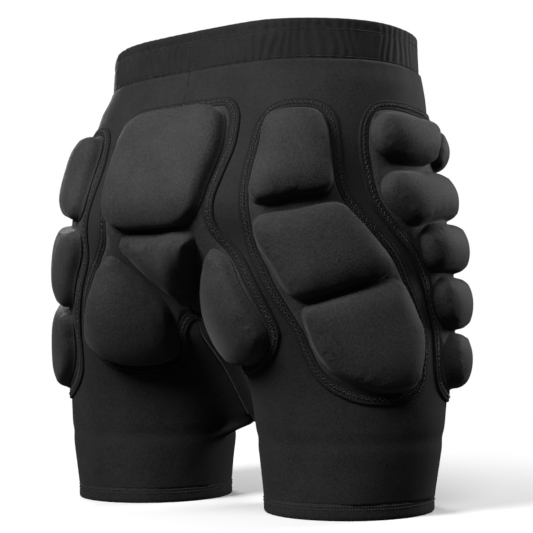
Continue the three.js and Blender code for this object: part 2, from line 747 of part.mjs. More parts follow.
/** A rolled eyelet: a barrel through the outer ply with a flange on each face. */
function eyelet(side) {
  const sheet = EYELET_SHEET;
  const front = EYELET_CLEARANCE;
  const back = -PLY - EYELET_CLEARANCE;
  const ring = [
    [EYELET_HOLE, back - sheet], [EYELET_FLANGE - 0.8, back - sheet], [EYELET_FLANGE - 0.8, back],
    [EYELET_BARREL, back], [EYELET_BARREL, front], [EYELET_FLANGE, front], [EYELET_FLANGE - 0.4, front + sheet],
    [EYELET_HOLE, front + sheet], [EYELET_HOLE, back - sheet],
  ];
  return toEyelet(new THREE.LatheGeometry(ring.map(([r, y]) => new THREE.Vector2(r, y)), 10), side);
}

/** A round cord along a smooth curve through some points. */
function cord(points, steps) {
  const path = new THREE.CatmullRomCurve3(points, false, 'centripetal');
  const section = new THREE.Shape();
  section.absarc(0, 0, CORD_RADIUS, 0, Math.PI * 2);
  return new THREE.ExtrudeGeometry(section, { steps, bevelEnabled: false, extrudePath: path, curveSegments: 4 });
}

/** The drawstring inside the casing, from beside one eyelet round the back to the other. */
function drawstring() {
  const height = BAND_TOP - EYELET_DROP;
  const off = CASING_OUT - PLY - GAP - CORD_RADIUS;
  const sides = 8;
  const round = Array.from({ length: sides }, (_, k) => {
    const angle = (-2 * Math.PI * k) / sides;
    return [off + CORD_RADIUS * Math.cos(angle), height - CORD_RADIUS * Math.sin(angle)];
  });
  const opening = new THREE.BoxGeometry(2 * (EYELET_X + EYELET_FLANGE + GAP), 60, 20);
  opening.translate(0, eyeletPlace(1).point.y, height);
  return fromManifold(toManifold(waistLoop(round, AROUND)).subtract(toManifold(opening)));
}

/** A cord end: it comes straight out of the eyelet, hangs down the front and ends in a knot. */
function cordEnd(side) {
  const { point, out } = eyeletPlace(side);
  const along = (distance, drop, shift) => point.clone().addScaledVector(out, distance)
    .add(new THREE.Vector3(side * shift, 0, -drop));
  const stubStart = -0.6;
  const stubEnd = 4.4;
  const stub = new THREE.CylinderGeometry(CORD_RADIUS, CORD_RADIUS, stubEnd - stubStart, 8);
  stub.translate(0, (stubStart + stubEnd) / 2, 0);
  const tail = along(stubEnd + CORD_LENGTH * CORD_SLOPE, CORD_LENGTH, CORD_SPREAD);
  const hanging = cord([
    along(stubEnd - CORD_RADIUS, -CORD_RADIUS / 2, 0),
    along(stubEnd - CORD_RADIUS / 2, CORD_LENGTH / 8, CORD_SPREAD / 8),
    along(stubEnd, CORD_LENGTH / 2, CORD_SPREAD / 2),
    tail,
  ], 6);
  const knot = new THREE.SphereGeometry(KNOT_RADIUS, 8, 6).scale(0.85, 0.85, 1.15).translate(tail.x, tail.y, tail.z);
  return fromManifold(toManifold(toEyelet(stub, side)).add(toManifold(hanging)).add(toManifold(knot)));
}

// ---------------------------------------------------------------- assembly

/** A named mesh with its own material. */
function named(name, geometry, meshMaterial) {
  const mesh = new THREE.Mesh(geometry, meshMaterial);
  mesh.name = name;
  return mesh;
}

const shorts = new THREE.Group();

const elasticLow = CASING_IN + PLY + GAP;
const elasticBottom = BAND_BOTTOM + 2;
shorts.add(
  named('waistband_casing', casing(), bandFabric()),
  named(
    'waist_elastic',
    waistLoop(
      bandSection([elasticLow, elasticLow + ELASTIC_THICKNESS], elasticBottom, elasticBottom + ELASTIC_HEIGHT),
      AROUND,
    ),
    elasticWeb(),
  ),
  named('drawstring', drawstring(), cordBraid()),
);

for (const [sideName, side] of [['left', 1], ['right', -1]]) {
  shorts.add(
    named(`${sideName}_eyelet`, eyelet(side), eyeletMetal()),
    named(`${sideName}_cord_end`, cordEnd(side), cordBraid()),
    panels(sideName, side),
    named(`${sideName}_hem`, hem(side), shellFabric()),
  );
}

const mirror = (corners) => corners.map(([s, z]) => [-s, z]);
const backFoams = {
  sacrum_foam: BACK_FOAMS.sacrum,
  tailbone_foam: BACK_FOAMS.tailbone,
  left_buttock_foam: BUTTOCK_FOAM,
  right_buttock_foam: mirror(BUTTOCK_FOAM),
};
shorts.add(padGroup('back_pad', backFoams, mirroredCorners(BACK_EDGE), 40, 1));

const withName = (foams, start) =>
  Object.fromEntries(Object.entries(foams).map(([name, corners]) => [`${start}_${name}_foam`, corners]));
for (const [sideName, side] of [['left', 1], ['right', -1]]) {
  shorts.add(
    padGroup(`${sideName}_hip_pad`, withName(HIP_FOAMS, `${sideName}_hip`), HIP_EDGE, 30, side),
    padGroup(`${sideName}_thigh_pad`, withName(FRONT_FOAMS, `${sideName}_thigh`), FRONT_EDGE, 34, side),
  );
}

shorts.position.y = -CENTRE_Y;

export default shorts;
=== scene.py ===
"""Padded impact shorts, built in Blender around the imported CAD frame.

The garment is drawn on one body surface, as in the CAD. A place on it is (s, z, off): s is the distance
round the garment from the centre-back line (positive on the wearer's left), z the height and off the
distance outward. Design lengths are in millimetres and become metres when a mesh is made.
"""

import math

import bpy
import numpy as np
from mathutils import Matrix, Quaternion, Vector, noise
from mathutils.geometry import delaunay_2d_cdt


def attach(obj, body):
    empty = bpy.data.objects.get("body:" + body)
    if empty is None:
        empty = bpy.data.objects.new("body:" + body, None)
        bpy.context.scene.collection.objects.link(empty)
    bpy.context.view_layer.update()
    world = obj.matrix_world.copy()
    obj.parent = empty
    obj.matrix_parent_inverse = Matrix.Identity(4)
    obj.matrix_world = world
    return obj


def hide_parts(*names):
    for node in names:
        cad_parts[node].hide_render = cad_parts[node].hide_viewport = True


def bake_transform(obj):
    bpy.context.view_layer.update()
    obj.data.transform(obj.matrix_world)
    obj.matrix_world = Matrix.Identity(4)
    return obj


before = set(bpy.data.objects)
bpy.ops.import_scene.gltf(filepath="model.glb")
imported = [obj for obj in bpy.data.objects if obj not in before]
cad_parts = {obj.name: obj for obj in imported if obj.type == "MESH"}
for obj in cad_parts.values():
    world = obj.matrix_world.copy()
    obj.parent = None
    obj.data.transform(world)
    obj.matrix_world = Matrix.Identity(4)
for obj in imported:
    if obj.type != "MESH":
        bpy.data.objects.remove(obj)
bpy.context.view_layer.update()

# ------------------------------------------------------------------ driving dimensions, in mm

MM = 0.001
HEM_TOP = 13.0
CROTCH = 73.5
BAND_BOTTOM = 377.0
BAND_TOP = 415.0
WAIST_MIDDLE = (BAND_BOTTOM + BAND_TOP) / 2
CENTRE_Y = 18.4

LEG = {
    "heights": [0, 80, 165, 250, 330, 420],
    "x": [108, 109, 101, 97, 81, 60],
    "y": [18, 16, 1, 1, 1, 1],
    "width": [71, 83, 84, 81, 66, 53],
    "depth": [72, 78, 104, 102, 90, 76],
}
PELVIS = {
    "heights": [120, 190, 250, 310, 370, 420],
    "y": [5, 5, 22, 4, -7, -9],
    "width": [108, 133, 146, 164, 161, 147],
    "depth": [66, 91, 117, 118, 103, 98],
}
PELVIS_POWER = 2.3
PELVIS_END = 150.0
BUTTOCK = {"x": 72, "z": 195, "width": 52, "height": 62, "rise": 25, "fade_in": 60}
BLEND = 9.0
CLEFT_ROUNDING = 6.0
WAIST_EASE = 18.0
WAIST_SHARE_BELOW = 0.7
WAIST_NARROWING = 0.026
WAIST_FORWARD = 6.0
WAIST_HALF_WIDTH = 155.0
SEARCH_STEP = 4.0
SEARCH_END = 260.0

# Outlines of the foam blocks, as (s, z) on the wearer's left.
BACK_FOAMS = {
    "sacrum": [(-36, 339), (0, 340), (36, 339), (50, 331), (56, 308), (54, 275), (48, 249), (36, 242),
               (0, 241), (-36, 242), (-48, 249), (-54, 275), (-56, 308), (-50, 331)],
    "tailbone": [(0, 236), (28, 236), (40, 231), (36, 220), (10, 183), (0, 177), (-10, 183), (-36, 220),
                 (-40, 231), (-28, 236)],
}
BUTTOCK_FOAM = [(56, 219), (69, 213), (85, 192), (97, 172), (104, 152), (100, 137), (88, 128), (58, 127),
                (36, 137), (25, 156), (23, 174), (33, 192), (45, 208)]
HIP_FOAMS = {
    "upper": [(98, 328), (131, 328), (139, 319), (148, 292), (156, 267), (151, 261), (126, 257), (99, 253),
              (93, 260), (92, 290), (92, 322)],
    "middle": [(99, 241), (130, 247), (164, 252), (178, 240), (193, 221), (207, 203), (204, 194),
               (176, 186), (147, 178), (133, 178), (114, 199), (99, 219), (96, 234)],
    "lower": [(139, 169), (150, 173), (185, 183), (216, 191), (227, 176), (233, 152), (235, 125),
              (232, 108), (222, 103), (203, 103), (176, 112), (153, 128), (139, 150)],
}
THIGH_FOAMS = {
    "row_1_outer": [(194, 331), (225, 331), (260, 330), (267, 318), (264, 296), (240, 290), (210, 290),
                    (189, 299), (181, 314), (184, 326)],
    "row_1_inner": [(284, 329), (320, 328), (337, 323), (342, 311), (339, 299), (324, 294), (286, 293),
                    (277, 302), (277, 320)],
    "row_2": [(207, 279), (235, 283), (290, 286), (338, 285), (348, 276), (348, 260), (338, 250),
              (290, 247), (258, 242), (232, 237), (217, 246), (202, 262), (201, 272)],
    "row_3": [(254, 238), (290, 241), (350, 243), (376, 240), (384, 228), (384, 214), (374, 204),
              (350, 202), (290, 201), (256, 202), (245, 212), (242, 228)],
    "row_4": [(272, 194), (310, 196), (350, 197), (382, 195), (392, 185), (392, 165), (382, 155),
              (350, 153), (310, 152), (278, 153), (267, 162), (265, 184)],
    "row_5": [(282, 146), (315, 148), (350, 148), (380, 147), (390, 138), (390, 114), (380, 104),
              (350, 102), (315, 102), (290, 105), (277, 115), (273, 134)],
}
BACK_EDGE_HALF = [(0, 350), (30, 350), (52, 348), (64, 334), (68, 308), (65, 278), (62, 254), (65, 236),
                  (76, 223), (93, 202), (107, 181), (115, 158), (114, 138), (106, 124), (90, 116),
                  (62, 115), (36, 122), (20, 137), (12, 154), (0, 163)]
HIP_EDGE = [(96, 340), (132, 340), (147, 328), (157, 303), (169, 270), (185, 248), (201, 231), (218, 213),
            (233, 194), (244, 174), (248, 149), (249, 122), (245, 103), (232, 94), (196, 92), (164, 103),
            (145, 118), (129, 143), (120, 165), (105, 190), (89, 214), (85, 240), (80, 290), (84, 328)]
THIGH_EDGE = [(190, 343), (260, 342), (330, 339), (350, 333), (357, 312), (360, 275), (368, 256),
              (392, 244), (402, 220), (405, 170), (403, 120), (396, 98), (372, 91), (320, 90), (288, 92),
              (266, 103), (259, 124), (256, 152), (252, 182), (234, 207), (211, 231), (194, 252),
              (183, 275), (172, 302), (170, 325), (176, 338)]

# Layers: distances out from the body surface, and thicknesses.
SHELL_OUT = -0.4
SHELL_THICKNESS = 1.2
LINER_OUT = 0.9
SHEET_THICKNESS = 0.5
SEAM_WIDTH = 9.0
NEEDLE_OUT = 1.1
ZIGZAG_OUT = 1.7

# The web between the pads of a group.
WEB_OUT = 3.0
WEB_EDGE_OUT = 1.3
WEB_RISE = (1, 9)
WEB_THICKNESS = 0.9
WEB_SPACING = 5.0
WEB_UNEVENNESS = 0.25
WEB_NOISE_SIZE = 14

# The domes over the foam. DOME_FLARE is the foot, as (distance in from the outline, height over the base).
# SIDE_STEPS are the distances in of the rings up the side.
DOME_BASE = WEB_OUT - 0.2
DOME_FLARE = [(-1.6, -1.0), (-1.5, 0.15), (-0.5, 0.7)]
DOME_FOOT = 0.9
SIDE_STEPS = (0.25, 0.95, 2.0, 3.4)
DOME_SIDE = 12.6
DOME_CROWN = 3.2
TAILBONE_CROWN = 9.5
DOME_ROUNDING = 12.0
DOME_POWER = 2.2
DOME_POINTS = 96
DOME_SPACING = 3.0
EDGE_DETAIL = 8
EVENING_ROUNDS = 7

# The cloth simulation that blows the pads' covers up.
CLOTH_PRESSURE = 4.0
CLOTH_STRETCH_STIFFNESS = 40
CLOTH_BENDING_STIFFNESS = 4
CLOTH_QUALITY = 4
CLOTH_FRAMES = 12
CLOTH_MOST_MOVE = 1.6

SIDES = {"left": 1, "right": -1}

# ------------------------------------------------------------------ the body surface


def profile(table, key, z):
    """A smooth curve through a table's (height, value) pairs, read at heights z."""
    heights = np.array(table["heights"], float)
    values = np.array(table[key], float)
    rise = np.diff(values) / np.diff(heights)
    slope = np.concatenate([rise[:1], (rise[:-1] + rise[1:]) / 2, rise[-1:]])
    at = np.clip(z, heights[0], heights[-1])
    i = np.clip(np.searchsorted(heights, at, side="right") - 1, 0, len(heights) - 2)
    span = heights[i + 1] - heights[i]
    t = (at - heights[i]) / span
    start = (1 + 2 * t) * (1 - t) ** 2 * values[i] + t * (1 - t) ** 2 * span * slope[i]
    end = t * t * (3 - 2 * t) * values[i + 1] - t * t * (1 - t) * span * slope[i + 1]
    return start + end


def sections(z):
    """The sizes of the legs and the pelvis at heights z."""
    leg = {key: profile(LEG, key, z) for key in ("x", "y", "width", "depth")}
    pelvis = {key: profile(PELVIS, key, z) for key in ("y", "width", "depth")}
    return leg, pelvis


def body_distance(x, y, z, sizes=None):
    """Roughly the distance out from the body surface: negative inside, 0 on it."""
    leg, pelvis = sizes or sections(z)
    leg_size = (leg["width"] + leg["depth"]) / 2
    legs = [
        (np.hypot((x - side * leg["x"]) / leg["width"], (y - leg["y"]) / leg["depth"]) - 1) * leg_size
        for side in (1, -1)
    ]
    across = np.abs(x / pelvis["width"]) ** PELVIS_POWER
    along = np.abs((y - pelvis["y"]) / pelvis["depth"]) ** PELVIS_POWER
    pelvis_size = (pelvis["width"] + pelvis["depth"]) / 2
    trunk = ((across + along) ** (1 / PELVIS_POWER) - 1) * pelvis_size + np.maximum(0, PELVIS_END - z)
    parts = np.stack([legs[0], legs[1], trunk])
    nearest = parts.min(0)
    total = np.exp((nearest - parts) / BLEND).sum(0)
    bump = ((np.hypot(x, CLEFT_ROUNDING) - BUTTOCK["x"]) / BUTTOCK["width"]) ** 2
    bump = bump + ((z - BUTTOCK["z"]) / BUTTOCK["height"]) ** 2
    back = np.clip(y / BUTTOCK["fade_in"], 0, 1)
    return nearest - BLEND * np.log(total) - BUTTOCK["rise"] * back * np.exp(-bump)


def outward(points):
    """The outward directions of the surface at points near it."""
    step = 0.5
    x, y, z = points.T
    slope = [
        body_distance(x + step, y, z) - body_distance(x - step, y, z),
        body_distance(x, y + step, z) - body_distance(x, y - step, z),
        body_distance(x, y, z + step) - body_distance(x, y, z - step),
    ]
    normal = np.stack(slope, 1)
    return normal / np.linalg.norm(normal, axis=1, keepdims=True)


def crossing(near, far, is_outside):
    """Halves the spans between distances inside the surface and outside it until the crossings are found."""
    for _ in range(26):
        middle = (near + far) / 2
        outside = is_outside(middle)
        far = np.where(outside, middle, far)
        near = np.where(outside, near, middle)
    return (near + far) / 2


def centre_reach(direction, y, z):
    """The distance on the middle plane from (0, y), forward (-1) or back (1), to the first crossing."""
    sizes = sections(z)

    def is_outside(distance):
        return body_distance(np.zeros_like(z), y + direction * distance, z, sizes) > 0

    near = np.zeros_like(z)
    is_inside = np.ones(len(z), bool)
    for distance in np.arange(SEARCH_STEP, SEARCH_END, SEARCH_STEP):
        is_inside &= ~is_outside(distance)
        near = np.where(is_inside, distance, near)
    return crossing(near, near + SEARCH_STEP, is_outside)


def leg_reach(x, y, angle, z):
    """The distance from (x, y) outward to the surface, or to the middle plane where that comes first."""
    sizes = sections(z)
    dx, dy = np.cos(angle), np.sin(angle)

    def is_outside(distance):
        return body_distance(x + dx * distance, y + dy * distance, z, sizes) > 0

    far = np.where(dx < 0, np.minimum(SEARCH_END, -x / np.minimum(dx, -1e-9)), SEARCH_END)
    return np.where(is_outside(far), crossing(np.zeros_like(x), far, is_outside), far)


class HalfCurves:
    """The left half of the garment's section at many heights, from centre front round to centre back. Below
    the crotch it is the whole left leg, from the inseam round."""

    SAMPLES = 360

    def __init__(self, heights):
        self.z = np.array(heights, float)
        leg, pelvis = sections(self.z)
        first = np.arctan2(pelvis["y"] - leg["y"], -leg["x"])
        first = np.where(first > 0, first - 2 * math.pi, first)
        last = first + 2 * math.pi
        is_open = self.z > CROTCH
        front = pelvis["y"] - centre_reach(-1, pelvis["y"], self.z)
        back = pelvis["y"] + centre_reach(1, pelvis["y"], self.z)
        open_last = np.arctan2(back - leg["y"], -leg["x"])
        open_last = np.where(open_last < 0, open_last + 2 * math.pi, open_last)
        first = np.where(is_open, np.arctan2(front - leg["y"], -leg["x"]), first)
        last = np.where(is_open, open_last, last)
        share = np.linspace(0, 1, self.SAMPLES + 1)
        angle = first[:, None] + (last - first)[:, None] * share
        centre_x = np.repeat(leg["x"][:, None], angle.shape[1], 1)
        centre_y = np.repeat(leg["y"][:, None], angle.shape[1], 1)
        height = np.repeat(self.z[:, None], angle.shape[1], 1)
        flat = [a.ravel() for a in (centre_x, centre_y, angle, height)]
        radius = leg_reach(*flat).reshape(angle.shape)
        x = np.maximum(0, centre_x + radius * np.cos(angle))
        y = centre_y + radius * np.sin(angle)
        x[is_open, 0] = x[is_open, -1] = 0
        y[is_open, 0] = front[is_open]
        y[is_open, -1] = back[is_open]
        step = np.hypot(np.diff(x, axis=1), np.diff(y, axis=1))
        along = np.concatenate([np.zeros((len(self.z), 1)), np.cumsum(step, 1)], 1)
        self.length = along[:, -1]
        self.x = np.stack([np.interp(share * row[-1], row, xs) for row, xs in zip(along, x)])
        self.y = np.stack([np.interp(share * row[-1], row, ys) for row, ys in zip(along, y)])

    def at(self, s, z):
        """Points on the surface at arrays s (0 or more) and z."""
        place = np.interp(z, self.z, np.arange(len(self.z)))
        low = np.clip(place.astype(int), 0, len(self.z) - 2)
        part = place - low

        def row(i):
            along = np.clip(1 - s / self.length[i], 0, 1) * self.SAMPLES
            k = np.clip(along.astype(int), 0, self.SAMPLES - 1)
            t = along - k
            x = self.x[i, k] * (1 - t) + self.x[i, k + 1] * t
            y = self.y[i, k] * (1 - t) + self.y[i, k + 1] * t
            return x, y

        (x0, y0), (x1, y1) = row(low), row(low + 1)
        return np.stack([x0 * (1 - part) + x1 * part, y0 * (1 - part) + y1 * part, z], 1)


LOWEST_OPEN = CROTCH + 2.5
body = HalfCurves(np.arange(LOWEST_OPEN, BAND_TOP + 4, 2.0))


def on_body(flat):
    """Points in space, in mm, for rows of (s, z, off) above the crotch."""
    flat = np.asarray(flat, float)
    points = body.at(np.abs(flat[:, 0]), flat[:, 1])
    points += outward(points) * flat[:, 2:3]
    points[:, 0] *= np.where(flat[:, 0] < 0, -1, 1)
    return points


# ------------------------------------------------------------------ outlines in (s, z)

CURVE_STEPS = 24


def distances_along(path):
    """The distance from a path's start to each of its points."""
    return np.concatenate([[0], np.cumsum(np.linalg.norm(np.diff(path, axis=0), axis=1))])


def smooth_outline(corners, count):
    """A smooth closed outline through corners, anticlockwise, as count equally spaced points."""
    p = np.array(corners, float)
    fine = []
    for i in range(len(p)):
        a, b, c, d = (p[(i + k) % len(p)] for k in (-1, 0, 1, 2))
        before, span, after = (max(np.linalg.norm(v) ** 0.5, 1e-4) for v in (b - a, c - b, d - c))
        start = ((b - a) / before - (c - a) / (before + span) + (c - b) / span) * span
        end = ((c - b) / span - (d - b) / (span + after) + (d - c) / after) * span
        square = 3 * (c - b) - 2 * start - end
        cube = 2 * (b - c) + start + end
        t = np.linspace(0, 1, CURVE_STEPS, endpoint=False)[:, None]
        fine.append(b + start * t + square * t**2 + cube * t**3)
    loop = np.concatenate(fine + [fine[0][:1]])
    along = distances_along(loop)
    want = np.linspace(0, along[-1], count, endpoint=False)
    points = np.stack([np.interp(want, along, loop[:, k]) for k in (0, 1)], 1)
    x, y = points.T
    area = (x * np.roll(y, -1) - np.roll(x, -1) * y).sum()
    return points if area > 0 else points[::-1].copy()


def inset(points, distance):
    """The outline moved inward by a distance."""
    tangent = np.roll(points, -1, 0) - np.roll(points, 1, 0)
    tangent /= np.linalg.norm(tangent, axis=1, keepdims=True)
    return points + distance * np.stack([-tangent[:, 1], tangent[:, 0]], 1)


def inside(points, loop):
    """Which points lie inside a closed outline."""
    x, y = points.T
    x0, y0 = loop.T
    x1, y1 = np.roll(loop, -1, 0).T
    crosses = (y0[:, None] > y) != (y1[:, None] > y)
    level = np.where(y1 == y0, 1e-9, y1 - y0)
    hit = x < (x1 - x0)[:, None] * (y - y0[:, None]) / level[:, None] + x0[:, None]
    return (crosses & hit).sum(0) % 2 == 1


def distance_to(points, loop):
    """The distance from each point to the nearest of a loop's points."""
    nearest = np.full(len(points), 1e9)
    for i in range(0, len(points), 512):
        block = points[i : i + 512]
        nearest[i : i + 512] = np.sqrt(((block[:, None] - loop[None]) ** 2).sum(2).min(1))
    return nearest


def mirrored(half):
    """Both halves of an outline that is drawn for the left and crosses the centre-back line."""
    return list(half) + [(-s, z) for s, z in reversed(half) if s > 0]


def ramp(value, low, high):
    """0 below low, 1 above high, smooth between."""
    t = np.clip((value - low) / (high - low), 0, 1)
    return t * t * (3 - 2 * t)


def unevenness(x, y, z):
    """Smooth noise between -1 and 1 at arrays of places."""
    return np.array([noise.noise(Vector(place)) for place in np.broadcast(x, y, z)])


# ------------------------------------------------------------------ materials


NAP_SCALE = 520.0
CLOUD_SCALE = 26.0
CLOUD_SHARE = 0.3
TONE_CONTRAST = 0.45
LIGHT_BLUENESS = 1.02
NAP_ROUGHNESS = 0.08


def grey(tone):
    """A neutral colour."""
    return [tone, tone, tone, 1]


class Nodes:
    """Adds nodes to a node tree and wires them up. Shader node names are given without ShaderNode."""

    def __init__(self, tree):
        self.tree = tree

    def plug(self, node, inputs):
        """Sets a node's inputs, or links them where the value is a socket."""
        for key, value in inputs.items():
            if isinstance(value, bpy.types.NodeSocket):
                self.tree.links.new(value, node.inputs[key])
            else:
                node.inputs[key].default_value = value

    def add(self, kind, inputs=None, **settings):
        """Adds a node."""
        node = self.tree.nodes.new("ShaderNode" + kind)
        for key, value in settings.items():
            setattr(node, key, value)
        self.plug(node, inputs or {})
        return node

    def place(self):
        """The place on the piece."""
        return self.add("TexCoord").outputs["Object"]

    def noise(self, scale, detail, roughness):
        """Smooth noise over the piece."""
        inputs = {"Vector": self.place(), "Scale": scale, "Detail": detail, "Roughness": roughness}
        return self.add("TexNoise", inputs).outputs["Fac"]

    def ribs(self, scale, distortion, direction):
        """Parallel waves over the piece."""
        inputs = {"Vector": self.place(), "Scale": scale, "Distortion": distortion}
        return self.add("TexWave", inputs, bands_direction=direction).outputs["Fac"]

    def stretched(self, value, low, high, start=0.0, end=1.0, **settings):
        """The value's span from low to high, moved to the span from start to end."""
        return self.add("MapRange", {0: value, 1: low, 2: high, 3: start, 4: end}, **settings).outputs[0]

    def mixed(self, share, dark, light):
        """A colour between two."""
        return self.add("Mix", {0: share, 6: dark, 7: light}, data_type="RGBA").outputs[2]

    def dents(self, height, strength, depth, **settings):
        """A bumpy normal."""
        inputs = {"Height": height, "Strength": strength, "Distance": depth}
        return self.add("Bump", inputs, **settings).outputs["Normal"]


def node_material(name):
    """An empty node material and its nodes."""
    material = bpy.data.materials.new(name)
    material.use_nodes = True
    return material, Nodes(material.node_tree)


def surfaced(material, nodes, inputs):
    """The material with its Principled shader's inputs set."""
    nodes.plug(material.node_tree.nodes["Principled BSDF"], inputs)
    return material


def knit(name, tone, wale, bump, sheen, roughness=0.78):
    """A fine stretch knit: rows of loops, a soft brushed nap, cloudy tones and a sheen at grazing angles."""
    material, nodes = node_material(name)
    cells = nodes.add("TexVoronoi", {"Vector": nodes.place(), "Scale": 1000 / wale}, feature="F1")
    nap = nodes.noise(NAP_SCALE, 4.0, 0.65)
    clouds = nodes.noise(CLOUD_SCALE, 3.0, 0.55)
    height = nodes.add("Math", {0: cells.outputs["Distance"], 1: nap}, operation="ADD").outputs[0]
    grain = nodes.add("Mix", {0: 1 - CLOUD_SHARE, 2: clouds, 3: nap}, data_type="FLOAT").outputs[0]
    dark = grey(tone * (1 - TONE_CONTRAST))
    light = grey(tone * (1 + TONE_CONTRAST))
    light[2] *= LIGHT_BLUENESS
    return surfaced(material, nodes, {
        "Normal": nodes.dents(height, bump, 0.0006),
        "Base Color": nodes.mixed(nodes.stretched(grain, 0.35, 0.65), dark, light),
        "Roughness": nodes.stretched(nap, 0.3, 0.7, roughness - NAP_ROUGHNESS, roughness + NAP_ROUGHNESS),
        "Specular IOR Level": 0.12,
        "Sheen Weight": sheen,
        "Sheen Roughness": 0.45,
        "Sheen Tint": (1, 1, 1, 1),
    })


def mesh_cloth(name, tone):
    """An open mesh knit: a lattice of small holes."""
    material, nodes = node_material(name)
    cells = nodes.add("TexVoronoi", {"Vector": nodes.place(), "Scale": 420.0}, feature="DISTANCE_TO_EDGE")
    ring = nodes.stretched(cells.outputs["Distance"], 0.0, 0.25)
    return surfaced(material, nodes, {
        "Base Color": nodes.mixed(ring, grey(tone), grey(tone * 0.2)),
        "Normal": nodes.dents(ring, 0.5, 0.0008, invert=True),
        "Roughness": 0.85,
    })


def ribbed(name, tone, scale, distortion, direction, bump, depth, dark, roughness):
    """Fine parallel ribs, with painted shade in the grooves and painted light on the ribs' crests. dark is
    the share of the tone left in the shaded grooves.
    """
    material, nodes = node_material(name)
    ribs = nodes.ribs(scale, distortion, direction)
    return surfaced(material, nodes, {
        "Normal": nodes.dents(ribs, bump, depth),
        # Painted shade darkens the colour in the grooves, and painted light brightens it on the crests.
        "Base Color": nodes.mixed(ribs, grey(tone * dark), grey(tone * 1.3)),
        "Roughness": roughness,
    })


def thread(name, tone):
    """Twisted polyester thread with a slight shine."""
    # The thread's grooves carry painted shade at 0.6 of its tone.
    return ribbed(name, tone, 500.0, 1.0, "DIAGONAL", bump=0.4, depth=0.0003, dark=0.6, roughness=0.5)


def ribbed_elastic(name, tone):
    """Woven elastic: fine ribs along the band."""
    # The elastic's grooves carry painted shade at 0.5 of its tone.
    return ribbed(name, tone, 160.0, 0.3, "Z", bump=0.6, depth=0.0008, dark=0.5, roughness=0.8)


def lacquer(name):
    """Black lacquered metal with a few fine scuffs."""
    material, nodes = node_material(name)
    scuffs = nodes.noise(900.0, 5.0, 0.7)
    worn = nodes.stretched(scuffs, 0.66, 0.74)
    return surfaced(material, nodes, {
        "Roughness": nodes.stretched(scuffs, 0.35, 0.75, 0.22, 0.5),
        "Base Color": nodes.mixed(worn, [0.022, 0.023, 0.026, 1], [0.16, 0.16, 0.17, 1]),
        "Metallic": 0.8,
    })


SHELL = knit("shell_knit", 0.0175, wale=1.0, bump=0.3, sheen=0.05)
COVER = knit("cover_knit", 0.03, wale=1.1, bump=0.36, sheen=0.1, roughness=0.7)
BAND = knit("band_knit", 0.015, wale=1.0, bump=0.35, sheen=0.04)
TAPE = knit("seam_tape", 0.0115, wale=0.8, bump=0.45, sheen=0.03)
LINER = mesh_cloth("liner_mesh", 0.014)
THREAD = thread("thread", 0.035)
ELASTIC = ribbed_elastic("elastic", 0.02)
CORD = knit("cord_braid", 0.02, wale=0.7, bump=0.5, sheen=0.05)
METAL = lacquer("eyelet_lacquer")

STITCH_RADIUS = 0.36
STITCH_BULGE = 0.5
STITCH_SHOULDERS = (0.22, 0.78)
RUNNING_PITCH = 2.9
RUNNING_GAP = 0.28
ZIGZAG_PITCH = 2.2

# ------------------------------------------------------------------ mesh helpers


def drawn_in(points):
    """Points after the elastic has drawn the waist in: at the sides it is narrower and further forward."""
    height = points[:, 2]
    below = ramp(height, BAND_BOTTOM - WAIST_EASE, BAND_BOTTOM)
    within = ramp(height, BAND_BOTTOM, BAND_TOP)
    share = WAIST_SHARE_BELOW * below + (1 - WAIST_SHARE_BELOW) * within
    moved = points.copy()
    moved[:, 0] *= 1 - WAIST_NARROWING * share
    moved[:, 1] -= WAIST_FORWARD * share * (points[:, 0] / WAIST_HALF_WIDTH) ** 2
    return moved


def new_object(name, data):
    """An object in the scene that holds a mesh, a light or a camera."""
    added = bpy.data.objects.new(name, data)
    bpy.context.scene.collection.objects.link(added)
    return added


def new_piece(name, points_mm, faces, material, side=1):
    """A smooth mesh object from points in design millimetres. It is drawn for the wearer's left, and side -1
    mirrors it."""
    points = drawn_in(np.asarray(points_mm, float))
    points[:, 1] -= CENTRE_Y
    points[:, 0] *= side
    if side < 0:
        faces = [tuple(reversed(face)) for face in faces]
    mesh = bpy.data.meshes.new(name)
    mesh.from_pydata((points * MM).tolist(), [], [list(map(int, face)) for face in faces])
    mesh.validate()
    mesh.update()
    mesh.materials.append(material)
    mesh.shade_smooth()
    return new_object(name, mesh)


def modifier(piece, kind, **settings):
    """Adds a modifier to a piece."""
    added = piece.modifiers.new(kind.lower(), kind)
    for key, value in settings.items():
        setattr(added, key, value)
    return added


def apply_modifiers(piece):
    """Turns a piece's evaluated shape into its own mesh."""
    depsgraph = bpy.context.evaluated_depsgraph_get()
    depsgraph.update()
    mesh = bpy.data.meshes.new_from_object(piece.evaluated_get(depsgraph))
    piece.modifiers.clear()
    piece.data = mesh
    return piece


def follow(piece, bodies, slot, *nodes):
    """Puts a finished piece on its body, in place of CAD nodes. A piece that spans two bodies across a hip
    crease only has its place baked into its mesh and goes on neither.
    """
    if len(bodies) == 1:
        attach(piece, bodies[0])
    else:
        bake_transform(piece)
    if nodes:
        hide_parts(*nodes)
    return piece


def loop_faces(rows, count, closed=True):
    """Quads between rows of count points each, joined end to end when closed."""
    faces = []
    for i in range(rows - 1):
        for j in range(count if closed else count - 1):
            k = (j + 1) % count
            faces.append((i * count + j, i * count + k, (i + 1) * count + k, (i + 1) * count + j))
    return faces


def ring_faces(rows, count):
    """Quads between closed rows, with the last row joined back to the first."""
    last = (rows - 1) * count
    closing = [(last + j, last + (j + 1) % count, (j + 1) % count, j) for j in range(count)]
    return loop_faces(rows, count) + closing


def wrapped(name, flat, faces, material, side=1):
    """A piece from rows of (s, z, off). That frame is left-handed, so the faces are turned over."""
    return new_piece(name, on_body(flat), [tuple(reversed(face)) for face in faces], material, side)


def sheet(name, flat, faces, material, side, thickness=SHEET_THICKNESS):
    """A layer of cloth with a thickness, from rows of (s, z, off)."""
    piece = wrapped(name, flat, faces, material, side)
    modifier(piece, "SOLIDIFY", thickness=thickness * MM, offset=-1)
    return apply_modifiers(piece)


